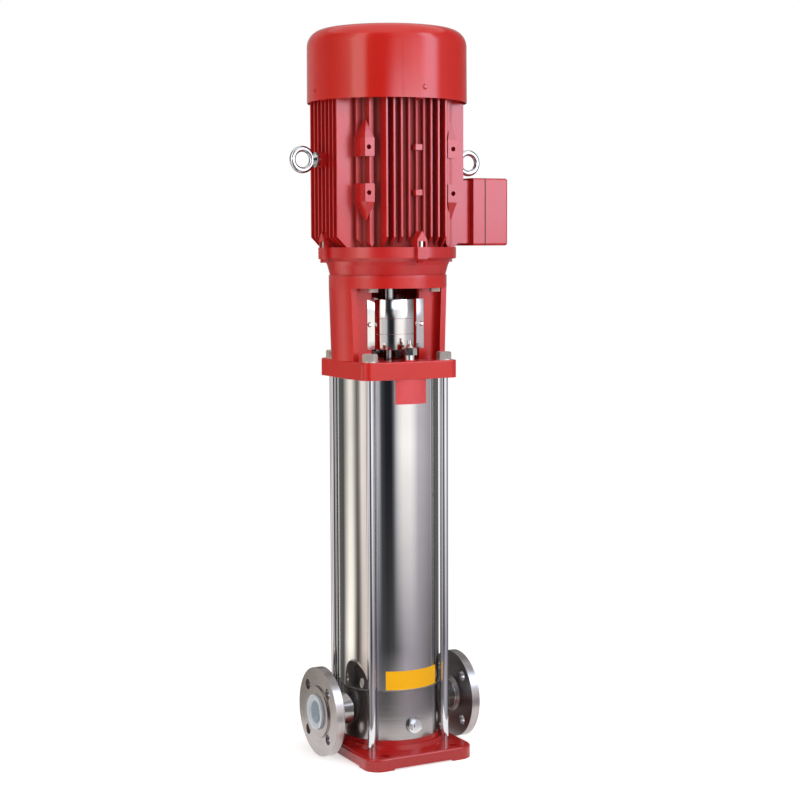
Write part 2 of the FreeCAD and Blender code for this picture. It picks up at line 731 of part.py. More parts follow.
def coupling_screw_points():
    """Return the (x, z) of the four clamping screws."""
    return [(sx * 22.0, z) for sx in SIDES for z in (COUPLING_Z0 + 15.0, COUPLING_Z1 - 15.0)]


def coupling_halves():
    """Both halves of the coupling."""
    return group([coupling_half(side) for side in SIDES])


def coupling_screws():
    """Socket-head screws that clamp the halves on both shafts."""
    screws = []
    for x, z in coupling_screw_points():
        shank = bar(3.0, vec(x, -14, z), vec(0, 1, 0), 30.0)
        head = bar(5.0, vec(x, -14, z), vec(0, -1, 0), 6.0)
        socket = hexagon(5.0, vec(x, -20, z), vec(0, 1, 0), 3.0)
        screws.append(fused([shank, head]).cut(socket))
    return group(screws)


def coupling_pin():
    """Cross pin that carries the pump shaft in the coupling."""
    reach = math.sqrt(COUPLING_R ** 2 - PIN_R ** 2) - 1.0
    return bar(PIN_R, vec(-reach, 0, PIN_Z), vec(1, 0, 0), 2 * reach)


def guard_screw_points():
    """Return the guard's side and the (x, z) of each of the four screws."""
    mid = (GUARD_Z0 + GUARD_Z1) / 2
    return [(sy, sx * GUARD_SCREW_X, mid) for sx in SIDES for sy in SIDES]


def guard_screw_holes():
    """Return the blind screw holes in the stool's webs."""
    return [bar(GUARD_SCREW_R, vec(x, sy * GUARD_Y, z), vec(0, -sy, 0), WEB_T - 2)
            for sy, x, z in guard_screw_points()]


def coupling_guard(side, top):
    """Bent sheet guard: a shallow round bulge with a flat strip each side, screwed on the webs."""
    axis = side * GUARD_AXIS_Y
    face = side * GUARD_Y
    bulge = ring(GUARD_R, GUARD_R - GUARD_T, GUARD_Z0, top, 0, axis)
    y0, y1 = sorted((face, axis + side * (GUARD_R + 1)))
    bulge = bulge.common(block(-GUARD_R, GUARD_R, y0, y1, GUARD_Z0, top))
    rise = GUARD_Y + GUARD_T / 2 - GUARD_AXIS_Y
    bend_x = math.sqrt((GUARD_R - GUARD_T / 2) ** 2 - rise ** 2)
    strips = []
    for sx in SIDES:
        x0, x1 = sorted((sx * bend_x, sx * GUARD_EDGE_X))
        t0, t1 = sorted((face, face + side * GUARD_T))
        strips.append(block(x0, x1, t0, t1, GUARD_Z0, top))
    guard = fused([bulge] + strips)
    for sy, x, z in guard_screw_points():
        if sy == side:
            guard = guard.cut(bar(GUARD_SCREW_R, vec(x, face, z), vec(0, side, 0), GUARD_T))
    return guard


def guard_screws():
    """Round-head screws of both guards."""
    screws = []
    for sy, x, z in guard_screw_points():
        shank = bar(GUARD_SCREW_R, vec(x, sy * (GUARD_Y - 5), z), vec(0, sy, 0), 5 + GUARD_T)
        head = Part.makeCone(4.3, 2.6, 2.6, vec(x, sy * (GUARD_Y + GUARD_T), z), vec(0, sy, 0))
        screws.append(fused([shank, head]))
    return group(screws)


def vent_plug():
    """Hexagonal vent body screwed in the boss of the head plate."""
    bore = VENT_SCREW_R + FIT
    shank = rod(VENT_SCREW_R + 3.0, PLATE_Z1 - 12, VENT_BOSS_Z, 0, -VENT_Y)
    collar = rod(VENT_BOSS_R - 2.0, VENT_BOSS_Z, VENT_HEX_Z0, 0, -VENT_Y)
    body = nut(VENT_HEX, bore, 0, -VENT_Y, VENT_HEX_Z0, VENT_HEX_Z1 - VENT_HEX_Z0)
    plug = fused([shank, collar, body])
    return plug.cut(rod(bore, PLATE_Z1 - 6, VENT_HEX_Z1, 0, -VENT_Y))


def vent_screw():
    """Needle screw with a knurled head and a cross handle in the vent plug."""
    y = -VENT_Y
    stem = rod(VENT_SCREW_R, PLATE_Z1 - 5, VENT_SCREW_TOP - 6, 0, y)
    tip = Part.makeCone(1.0, VENT_SCREW_R, 1.0, vec(0, y, PLATE_Z1 - 6 + FIT))
    head = rod(VENT_SCREW_R + 0.8, VENT_SCREW_TOP - 6, VENT_SCREW_TOP, 0, y)
    slot = block(-5, 5, y - 0.5, y + 0.5, VENT_SCREW_TOP - 1.5, VENT_SCREW_TOP)
    return fused([stem, tip, head]).cut(slot)


def marker_plate():
    """Curved plate on the front of the sleeve under the head plate."""
    sheet = ring(SLEEVE_R + MARKER_T, SLEEVE_R, MARKER_Z0, MARKER_Z1)
    half = (SLEEVE_R + MARKER_T) * math.sin(math.radians(MARKER_HALF_ANGLE))
    return sheet.common(block(-half, half, -SLEEVE_R - 5, 0, MARKER_Z0, MARKER_Z1))


def drive_end_shield():
    """Flange-end shield of the motor: spigot, cone, bearing seat, rim and four bolt ears."""
    body = turned([(MOTOR_SHAFT_R + 1, RING_Z1 - SPIGOT_T), (SPIGOT_R, RING_Z1 - SPIGOT_T),
                   (SPIGOT_R, RING_Z1),
                   (STOOL_R_TOP, RING_Z1), (STOOL_R_TOP, CONE_Z0), (CONE_R0, CONE_Z0),
                   (CONE_R1, CONE_Z1),
                   (CONE_R1 + 3, SHIELD_Z0 - 4), (CONE_R1 + 7, SHIELD_Z0), (SHIELD_R - 2, SHIELD_Z0),
                   (SHIELD_R, SHIELD_Z0 + 2),
                   (SHIELD_R, SHIELD_Z1), (BODY_BORE_R, SHIELD_Z1), (BODY_BORE_R - 8, SHIELD_Z0),
                   (BEARING_R + 8, SHIELD_Z0 - 4), (BEARING_R + 5, DE_BEARING_Z + BEARING_W),
                   (BEARING_R, DE_BEARING_Z + BEARING_W), (BEARING_R, DE_BEARING_Z),
                   (MOTOR_SHAFT_R + 1, DE_BEARING_Z)])
    ears = []
    outer = EAR_R + EAR_OUT
    for i in range(4):
        ear = block(-EAR_HALF_W, EAR_HALF_W, -outer, -SHIELD_R + 12, SHIELD_Z0, SHIELD_Z1)
        for height in EAR_GROOVES:
            z0 = SHIELD_Z0 + height
            ear = ear.cut(block(-EAR_HALF_W, EAR_HALF_W, -outer, -outer + EAR_GROOVE_W, z0,
                                z0 + EAR_GROOVE_W))
        ears.append(spun(ear, 90 * i))
    shield = fused([body] + ears)
    for i in range(4):
        shield = shield.cut(spun(rod(EAR_BOLT_R, SHIELD_Z0, SHIELD_Z1, 0, -EAR_R), 90 * i))
    for x, y in corners(FLANGE_BOLT_PCD / math.sqrt(8), FLANGE_BOLT_PCD / math.sqrt(8)):
        shield = shield.cut(rod(FLANGE_BOLT_R, RING_Z1, RING_Z1 + 14, x, y))
    return shield


def flange_bolts():
    """Bolts from below through the stool's ring into the shield."""
    bolts = []
    for x, y in corners(FLANGE_BOLT_PCD / math.sqrt(8), FLANGE_BOLT_PCD / math.sqrt(8)):
        shank = rod(FLANGE_BOLT_R, RING_Z0, RING_Z1 + 12, x, y)
        head = hexagon(16.0, vec(x, y, RING_Z0), vec(0, 0, -1), 6.5)
        bolts.append(fused([shank, head]))
    return group(bolts)


def shield_bolts():
    """Bolts that clamp the shield's ears to the housing's lugs."""
    bolt = fused([rod(EAR_BOLT_R, SHIELD_Z0, SHIELD_Z1 + 14, 0, -EAR_R),
                  hexagon(13.0, vec(0, -EAR_R, SHIELD_Z0), vec(0, 0, -1), 6.0)])
    return group([spun(bolt, 90 * i) for i in range(4)])


def fin(tip, offset):
    """One upright cooling fin towards -Y, tapered to its tip and chamfered at its foot."""
    root = math.sqrt(BODY_R ** 2 - offset ** 2) - 2.0
    z0 = SHIELD_Z1
    half_root = FIN_ROOT_T / 2
    half_tip = FIN_TIP_T / 2
    plan = [vec(offset - half_root, -root, z0), vec(offset + half_root, -root, z0),
            vec(offset + half_tip, -tip, z0), vec(offset - half_tip, -tip, z0)]
    blade = Part.Face(Part.makePolygon(plan + plan[:1])).extrude(vec(0, 0, FIN_Z1 - z0))
    wedge = [(-tip - 1, z0 - 1), (-tip - 1, z0 + FIN_CHAMFER + 1), (-tip + FIN_CHAMFER, z0),
             (-tip + FIN_CHAMFER, z0 - 1)]
    points = [vec(offset - FIN_ROOT_T, y, z) for y, z in wedge]
    chamfer = Part.Face(Part.makePolygon(points + points[:1])).extrude(vec(2 * FIN_ROOT_T, 0, 0))
    return blade.cut(chamfer)


def fin_bank(tip, half_width, count):
    """Return the parallel fins of one side."""
    pitch = (2 * half_width - FIN_TIP_T) / (count - 1)
    return [fin(tip, -half_width + FIN_TIP_T / 2 + pitch * i) for i in range(count)]


def foot_pad(z_mid, point):
    """Mounting pad in the +X corner of the fins, bevelled and drawn to a point above or below."""
    inner = PAD_X - PAD_W / 2
    outer = PAD_X + PAD_W / 2
    back = -FIN_HALF_X + FIN_TIP_T
    plan = [(inner, -PAD_Y), (outer - PAD_BEVEL_X, -PAD_Y), (outer, -PAD_Y + PAD_BEVEL_Y),
            (outer, back), (inner, back)]
    sole = [vec(x, y, z_mid - PAD_H / 2) for x, y in plan]
    pad = Part.Face(Part.makePolygon(sole + sole[:1])).extrude(vec(0, 0, PAD_H))
    base_z = z_mid + point * PAD_H / 2
    footprint = [vec(x, y, base_z) for x, y in plan]
    tip = [vec(PAD_X + 0.05 * (x - PAD_X), -PAD_Y + 10.5 + 0.2 * (y + PAD_Y),
               base_z + point * PAD_WEDGE)
           for x, y in plan]
    wires = [Part.makePolygon(points + points[:1]) for points in (footprint, tip)]
    return [pad, Part.makeLoft(wires, True, True)]


def rib(outline, front, depth):
    """Return an upright rib from its (x, z) outline on a plane facing -Y."""
    points = [vec(x, -front, z) for x, z in outline]
    return Part.Face(Part.makePolygon(points + points[:1])).extrude(vec(0, depth, 0))


def corner_ribs():
    """Two stout ribs in the +X -Y corner, one sloped and one pointed at its foot."""
    foot = SHIELD_Z1
    side_root = math.sqrt(BODY_R ** 2 - SIDE_RIB_Y1 ** 2)
    slope = [(side_root - RIB_ROOT, foot), (side_root, foot), (SIDE_RIB_TIP, foot + SIDE_RIB_SLOPE),
             (SIDE_RIB_TIP, FIN_Z1), (side_root - RIB_ROOT, FIN_Z1)]
    front_root = math.sqrt(BODY_R ** 2 - FRONT_RIB_X1 ** 2) - RIB_ROOT
    point = [((FRONT_RIB_X0 + FRONT_RIB_X1) / 2, foot), (FRONT_RIB_X1, foot + FRONT_RIB_POINT),
             (FRONT_RIB_X1, FIN_Z1), (FRONT_RIB_X0, FIN_Z1), (FRONT_RIB_X0, foot + FRONT_RIB_POINT)]
    return [rib(slope, SIDE_RIB_Y1, SIDE_RIB_Y1 - SIDE_RIB_Y0),
            rib(point, FRONT_RIB_TIP, FRONT_RIB_TIP - front_root)]


def in_each_corner(shapes):
    """Return the shapes of the +X -Y corner in all four corners."""
    front = shapes + [shape.mirror(vec(0, 0, 0), vec(1, 0, 0)) for shape in shapes]
    return front + [shape.mirror(vec(0, 0, 0), vec(0, 1, 0)) for shape in front]


def side_lug(outer, foot, shoulder, apex):
    """Pointed lug in the middle of the -Y side, from its outer face back into the body."""
    outline = [(-EAR_HALF_W, foot), (EAR_HALF_W, foot), (EAR_HALF_W, shoulder), (0, apex),
               (-EAR_HALF_W, shoulder)]
    return rib(outline, outer, outer - BODY_R + 10)


def lower_lug():
    """Lug on a shield's ear, with the pocket that shows the bolt's end."""
    outer = EAR_R + EAR_OUT - 2
    lug = side_lug(outer, SHIELD_Z1, SHIELD_Z1 + LUG_SHOULDER, SHIELD_Z1 + LUG_APEX)
    return lug.cut(block(-POCKET_HALF_W, POCKET_HALF_W, -outer, -outer + POCKET_DEPTH, SHIELD_Z1,
                         SHIELD_Z1 + POCKET_H))


def upper_lug():
    """Lug at the fins' upper end, inside the cowl's rim."""
    outer = COWL_R0 - COWL_WALL - LUG_TO_COWL
    return side_lug(outer, FIN_Z1, FIN_Z1 - LUG_TOP_SHOULDER, FIN_Z1 - LUG_TOP_APEX)


def motor_housing():
    """Finned housing: round body, four banks of fins, corner ribs, foot pads, lugs and the box neck."""
    pieces = [rod(BODY_R, SHIELD_Z1, BODY_Z1)]
    for turn in (0, 180):
        pieces += [spun(f, turn) for f in fin_bank(FIN_TIP_Y, FIN_HALF_Y, Y_FINS)]
        for z_mid in (PAD_Z_LOW, PAD_Z_HIGH):
            spot = block(-SPOT_W / 2, SPOT_W / 2, -SPOT_Y, -BODY_R + 6, z_mid - SPOT_H / 2,
                         z_mid + SPOT_H / 2)
            pieces.append(spun(spot, turn))
    for turn in (90, 270):
        pieces += [spun(f, turn) for f in fin_bank(FIN_TIP_X, FIN_HALF_X, X_FINS)]
    pieces += in_each_corner(foot_pad(PAD_Z_LOW, -1) + foot_pad(PAD_Z_HIGH, 1) + corner_ribs())
    for turn in range(4):
        pieces += [spun(lug, 90 * turn) for lug in (lower_lug(), upper_lug())]
    for side in SIDES:
        start = vec(side * (BODY_R - 4), 0, EYE_Z)
        pieces.append(bar(EYE_BOSS_R, start, vec(side, 0, 0), EYE_BOSS_X - BODY_R + 4))
    pieces.append(block(BODY_R - 8, BOX_X0, -BOX_NECK_HALF_Y, BOX_NECK_HALF_Y, BOX_Z0 + 4, BOX_Z1 - 4))
    housing = fused(pieces)
    housing = housing.cut(rod(BODY_BORE_R, SHIELD_Z1, BODY_Z1))
    housing = housing.cut(block(BODY_BORE_R - 4, BOX_X0, -24, 24, BOX_Z0 + 30, BOX_Z1 - 30))
    holes = [bar(PAD_HOLE_R, vec(PAD_X, -PAD_Y, z), vec(0, 1, 0),
                 PAD_HOLE_DEPTH) for z in (PAD_Z_LOW, PAD_Z_HIGH)]
    for hole in in_each_corner(holes):
        housing = housing.cut(hole)
    for turn in range(4):
        housing = housing.cut(spun(rod(EAR_BOLT_R, SHIELD_Z1, SHIELD_Z1 + 14, 0, -EAR_R), 90 * turn))
    for side in SIDES:
        housing = housing.cut(bar(EYE_SHANK_R, vec(side * EYE_BOSS_X, 0, EYE_Z), vec(-side, 0, 0),
                                  EYE_SHANK_L))
    return housing


def eyebolts():
    """Two lifting eyebolts: ring, neck, collar and shank."""
    bolts = []
    for side in SIDES:
        loop = Part.makeTorus(EYE_RING_R, EYE_WIRE_R, vec(EYE_CENTRE_X * side, 0, EYE_Z), vec(0, 1, 0))
        collar = bar(EYE_COLLAR_R, vec(side * EYE_BOSS_X, 0, EYE_Z), vec(side, 0, 0), EYE_COLLAR_T)
        neck_x = EYE_BOSS_X + EYE_COLLAR_T
        reach = EYE_CENTRE_X - EYE_RING_R - neck_x
        neck = Part.makeCone(EYE_COLLAR_R - 3, EYE_WIRE_R + 1, reach, vec(side * neck_x, 0, EYE_Z),
                             vec(side, 0, 0))
        shank = bar(EYE_SHANK_R, vec(side * EYE_BOSS_X, 0, EYE_Z), vec(-side, 0, 0), EYE_SHANK_L)
        bolts.append(fused([loop, collar, neck, shank]))
    return group(bolts)


def stator_core():
    """Laminated core pressed in the housing."""
    return ring(BODY_BORE_R, STATOR_BORE_R, STATOR_Z0, STATOR_Z1)


def stator_winding():
    """End turns of the winding above and below the core."""
    low = turned([(WINDING_IN_R, STATOR_Z0), (WINDING_IN_R + 3, STATOR_Z0 - WINDING_H),
                  (WINDING_OUT_R - 3, STATOR_Z0 - WINDING_H), (WINDING_OUT_R, STATOR_Z0)])
    high = turned([(WINDING_IN_R, STATOR_Z1), (WINDING_OUT_R, STATOR_Z1),
                   (WINDING_OUT_R - 3, STATOR_Z1 + WINDING_H),
                   (WINDING_IN_R + 3, STATOR_Z1 + WINDING_H)])
    return group([low, high])


def motor_shaft():
    """Motor shaft, thicker through the rotor, with bearing journals and the fan seat."""
    top = FAN_Z0 + 30
    return turned([(0, SHAFT_JOINT_Z), (MOTOR_SHAFT_R, SHAFT_JOINT_Z),
                   (MOTOR_SHAFT_R, DE_BEARING_Z - 1),
                   (JOURNAL_R, DE_BEARING_Z - 1), (JOURNAL_R, DE_BEARING_Z + BEARING_W),
                   (JOURNAL_R + 6, DE_BEARING_Z + BEARING_W), (JOURNAL_R + 6, NDE_BEARING_Z),
                   (JOURNAL_R, NDE_BEARING_Z), (JOURNAL_R, NDE_BEARING_Z + BEARING_W),
                   (MOTOR_SHAFT_R, NDE_BEARING_Z + BEARING_W),
                   (MOTOR_SHAFT_R, top), (0, top)])


def rotor_core():
    """Rotor core on the motor shaft with its end rings."""
    outer = STATOR_BORE_R - AIR_GAP
    return turned([(JOURNAL_R + 6, STATOR_Z0), (outer - 22, STATOR_Z0), (outer - 20, STATOR_Z0 - 12),
                   (outer - 2, STATOR_Z0 - 12),
                   (outer - 2, STATOR_Z0), (outer, STATOR_Z0), (outer, STATOR_Z1),
                   (outer - 2, STATOR_Z1),
                   (outer - 2, STATOR_Z1 + 12), (outer - 20, STATOR_Z1 + 12), (outer - 22, STATOR_Z1),
                   (JOURNAL_R + 6, STATOR_Z1)])


def groove(z_mid):
    """Ball track swept round the pitch circle of a bearing."""
    pitch = (BEARING_RACE_IN + BEARING_RACE_OUT) / 2
    return Part.makeTorus(pitch, BALL_R + FIT, vec(0, 0, z_mid), UP)


def bearing_outer(z0):
    """Fixed outer ring of a ball bearing."""
    return ring(BEARING_R, BEARING_RACE_OUT, z0, z0 + BEARING_W).cut(groove(z0 + BEARING_W / 2))


def bearing_inner(z0):
    """Turning inner ring of a ball bearing."""
    return ring(BEARING_RACE_IN, JOURNAL_R, z0, z0 + BEARING_W).cut(groove(z0 + BEARING_W / 2))


def ball_set(z0):
    """Balls of one bearing held in their cage ring."""
    pitch = (BEARING_RACE_IN + BEARING_RACE_OUT) / 2
    z_mid = z0 + BEARING_W / 2
    cage = ring(pitch + 1.3, pitch - 1.3, z_mid - 2.2, z_mid + 2.2)
    balls = []
    for i in range(BALLS):
        angle = math.radians(360 / BALLS * i)
        centre = vec(pitch * math.cos(angle), pitch * math.sin(angle), z_mid)
        along = vec(-math.sin(angle), math.cos(angle), 0)
        balls.append(Part.makeSphere(BALL_R, centre, along))
    return fused([cage] + balls)


def cowl_radius(z):
    """Return the cowl's outer radius at a height on its side."""
    share = (z - COWL_Z0) / (COWL_Z1 - COWL_EDGE_R - COWL_Z0)
    return COWL_R0 + (COWL_R1 - COWL_R0) * share


def cowl_hook():
    """Hooked arm of the fan-end shield that one of the cowl's screws goes into."""
    top = BODY_Z1 + NDE_T
    wall = cowl_radius(top) - COWL_WALL - HOOK_CLEAR
    arm = block(-HOOK_HALF_W, HOOK_HALF_W, -wall, -BODY_R + 6, BODY_Z1, top)
    hook = block(-HOOK_HALF_W, HOOK_HALF_W, -wall, -wall + HOOK_T, COWL_SCREW_Z - HOOK_DROP, top)
    return arm.fuse(hook).cut(bar(COWL_THREAD_R, vec(0, -wall, COWL_SCREW_Z), vec(0, 1, 0), HOOK_T))


def nde_shield():
    """Fan-end shield with the upper bearing seat and four hooked arms for the cowl."""
    low = NDE_BEARING_Z - 3
    disc = turned([(MOTOR_SHAFT_R + 1, BODY_Z1 + 1), (MOTOR_SHAFT_R + 1, BODY_Z1 + NDE_T),
                   (BODY_R, BODY_Z1 + NDE_T),
                   (BODY_R, BODY_Z1), (BODY_BORE_R, BODY_Z1), (BODY_BORE_R - 6, BODY_Z1 - 4),
                   (BEARING_R + 6, BODY_Z1 - 4), (BEARING_R + 6, low), (BEARING_R, low),
                   (BEARING_R, BODY_Z1 + 1)])
    return fused([disc] + [spun(cowl_hook(), 90 * i) for i in range(4)])


def fan():
    """Radial cooling fan: hub, disc and straight blades."""
    hub = ring(FAN_HUB_R, MOTOR_SHAFT_R, FAN_Z0, FAN_Z0 + 28)
    disc = turned([(FAN_HUB_R, FAN_Z0 + 6), (FAN_HUB_R, FAN_Z0 + 3), (FAN_R - 10, FAN_Z0),
                   (FAN_R - 10, FAN_Z0 + 3)])
    outline = [vec(FAN_HUB_R - 2, 0, FAN_Z0 + 4), vec(FAN_R - 12, 0, FAN_Z0 + 1),
               vec(FAN_R, 0, FAN_Z0 + 4),
               vec(FAN_R, 0, FAN_Z0 + FAN_BLADE_H), vec(0.62 * FAN_R, 0, FAN_Z0 + FAN_BLADE_H),
               vec(FAN_HUB_R - 2, 0, FAN_Z0 + 22)]
    blade = Part.Face(Part.makePolygon(outline + outline[:1])).extrude(vec(0, 2.5, 0))
    return fused([hub, disc] + [spun(blade, 360 / FAN_BLADES * i) for i in range(FAN_BLADES)])


def cowl_profile(inset):
    """Return the half outline of the deep-drawn cowl, moved inwards by an inset."""
    top = COWL_Z1 - inset
    r0 = COWL_R0 - inset
    r1 = COWL_R1 - inset
    edge = COWL_EDGE_R - inset
    mid = edge * math.sqrt(0.5)
    rise = Part.makeLine(vec(r0, 0, COWL_Z0), vec(r1, 0, top - edge))
    curve = Part.Arc(vec(r1, 0, top - edge), vec(r1 - edge + mid, 0, top - edge + mid),
                     vec(r1 - edge, 0, top)).toShape()
    lid = Part.makeLine(vec(r1 - edge, 0, top), vec(0, 0, top))
    axis = Part.makeLine(vec(0, 0, top), vec(0, 0, COWL_Z0))
    foot = Part.makeLine(vec(0, 0, COWL_Z0), vec(r0, 0, COWL_Z0))
    return Part.Face(Part.Wire([rise, curve, lid, axis, foot]))


def fan_cowl():
    """Deep-drawn cowl over the fan with a ring of air slots in its top."""
    outer = cowl_profile(0.0).revolve(vec(0, 0, 0), UP, 360)
    inner = cowl_profile(COWL_WALL).revolve(vec(0, 0, 0), UP, 360)
    cowl = outer.cut(inner)
    slot = block(COWL_SLOT_R0, COWL_SLOT_R1, -COWL_SLOT_W / 2, COWL_SLOT_W / 2, COWL_Z1 - 8,
                 COWL_Z1 + 1)
    for i in range(COWL_SLOTS):
        cowl = cowl.cut(spun(slot, 360 / COWL_SLOTS * (i + 0.5)))
    for i in range(4):
        hole = bar(COWL_THREAD_R, vec(0, -COWL_R0 - 1, COWL_SCREW_Z), vec(0, 1, 0), 8.0)
        cowl = cowl.cut(spun(hole, 90 * i))
    return cowl


def cowl_screws():
    """Four domed screws round the cowl."""
    seat = vec(0, -cowl_radius(COWL_SCREW_Z - COWL_SCREW_R), COWL_SCREW_Z)
    shank = bar(COWL_THREAD_R, seat, vec(0, 1, 0), 8.0)
    head = Part.makeCone(COWL_SCREW_R, 2.6, 2.6, seat, vec(0, -1, 0))
    screw = fused([shank, head])
    return group([spun(screw, 90 * i) for i in range(4)])


def box_shell(x0, x1):
    """Solid slice of the terminal box with rounded long edges."""
    shell = block(x0, x1, -BOX_HALF_Y, BOX_HALF_Y, BOX_Z0, BOX_Z1)
    long_edges = [e for e in shell.Edges if e.BoundBox.XLength > 0.5 * (x1 - x0)]
    return shell.makeFillet(BOX_EDGE_R, long_edges)


def box_inside(x0, x1):
    """Return the room inside the terminal box's walls."""
    return block(x0, x1, -BOX_HALF_Y + BOX_WALL, BOX_HALF_Y - BOX_WALL, BOX_Z0 + BOX_WALL,
                 BOX_Z1 - BOX_WALL)


def box_screw_points():
    """Return the (y, z) of the four cover screws."""
    y = BOX_HALF_Y - BOX_SCREW_IN
    return [(sy * y, z) for sy in SIDES for z in (BOX_Z0 + BOX_SCREW_IN, BOX_Z1 - BOX_SCREW_IN)]


def terminal_box():
    """Box body on the housing's neck with corner posts and two cable entries."""
    shell = box_shell(BOX_X0, BOX_X1)
    posts = [bar(BOX_SCREW_IN - 1, vec(BOX_X0, y, z), vec(1, 0, 0), BOX_X1 - BOX_X0) for y,
             z in box_screw_points()]
    box = shell.cut(box_inside(BOX_X0 + BOX_WALL, BOX_X1))
    box = fused([box] + [p.common(shell) for p in posts])
    box = box.cut(block(BOX_X0 - 1, BOX_X0 + BOX_WALL + 1, -24, 24, BOX_Z0 + 30, BOX_Z1 - 30))
    for y, z in box_screw_points():
        box = box.cut(bar(2.5, vec(BOX_X1, y, z), vec(-1, 0, 0), 14.0))
    for z in entry_heights():
        box = box.cut(bar(8.0, vec((BOX_X0 + BOX_X1) / 2 + 1, BOX_HALF_Y, z), vec(0, -1, 0), BOX_WALL))
    return box


def entry_heights():
    """Return the heights of the two cable entries."""
    mid = (BOX_Z0 + BOX_Z1) / 2
    return (mid - 21.0, mid + 21.0)


def entry_plugs():
    """Hexagonal blanking plugs in the two cable entries."""
    plugs = []
    x = (BOX_X0 + BOX_X1) / 2 + 1
    for z in entry_heights():
        shank = bar(8.0, vec(x, BOX_HALF_Y - BOX_WALL, z), vec(0, 1, 0), BOX_WALL)
        head = hexagon(19.0, vec(x, BOX_HALF_Y, z), vec(0, 1, 0), 5.0)
        plugs.append(fused([shank, head]))
    return group(plugs)


def terminal_gasket():
    """Flat gasket between the box and its cover."""
    sheet = box_shell(BOX_X1, BOX_X1 + BOX_GASKET_T)
    hole = block(BOX_X1, BOX_X1 + BOX_GASKET_T, -BOX_HALF_Y + 20, BOX_HALF_Y - 20, BOX_Z0 + 20,
                 BOX_Z1 - 20)
    sheet = sheet.cut(hole)
    for y, z in box_screw_points():
        sheet = sheet.cut(bar(2.5, vec(BOX_X1, y, z), vec(1, 0, 0), BOX_GASKET_T))
    return sheet


def terminal_cover():
    """Deep cover with a rounded outer edge and sunk screw seats."""
    x0 = BOX_X1 + BOX_GASKET_T
    shell = box_shell(x0, BOX_X2)
    rim = [e for e in shell.Edges if e.BoundBox.XMin > BOX_X2 - 0.01]
    shell = shell.makeFillet(4.0, rim)
    posts = [bar(BOX_SCREW_IN - 1, vec(x0, y, z), vec(1, 0, 0), BOX_X2 - x0) for y,
             z in box_screw_points()]
    cover = fused([shell.cut(box_inside(x0, BOX_X2 - BOX_WALL))] + [p.common(shell) for p in posts])
    for y, z in box_screw_points():
        cover = cover.cut(bar(2.5, vec(x0, y, z), vec(1, 0, 0), BOX_X2 - x0))
        cover = cover.cut(bar(5.0, vec(BOX_X2, y, z), vec(-1, 0, 0), 5.0))
    return cover


def cover_screws():
    """Socket-head screws of the terminal cover."""
    screws = []
    for y, z in box_screw_points():
        head = bar(4.6, vec(BOX_X2 - 5.0, y, z), vec(1, 0, 0), 4.0)
        shank = bar(2.5, vec(BOX_X1 - 12, y, z), vec(1, 0, 0), BOX_X2 - 5.0 - BOX_X1 + 12)
        socket = hexagon(4.0, vec(BOX_X2 - 1.0, y, z), vec(-1, 0, 0), 2.5)
        screws.append(fused([shank, head]).cut(socket))
    return group(screws)


def terminal_block():
    """Terminal board on the floor of the box with its six studs."""
    x0 = BOX_X0 + BOX_WALL
    mid = (BOX_Z0 + BOX_Z1) / 2
    feet = [block(x0, x0 + 6, -34, 34, mid + side * 31 - 3, mid + side * 31 + 3) for side in SIDES]
    board = block(x0 + 6, x0 + 12, -34, 34, mid - 34, mid + 34)
    places = [(y, mid + side * 14) for y in (-20, 0, 20) for side in SIDES]
    studs = [bar(2.5, vec(x0 + 12, y, z), vec(1, 0, 0), 14.0) for y, z in places]
    return fused(feet + [board] + studs)


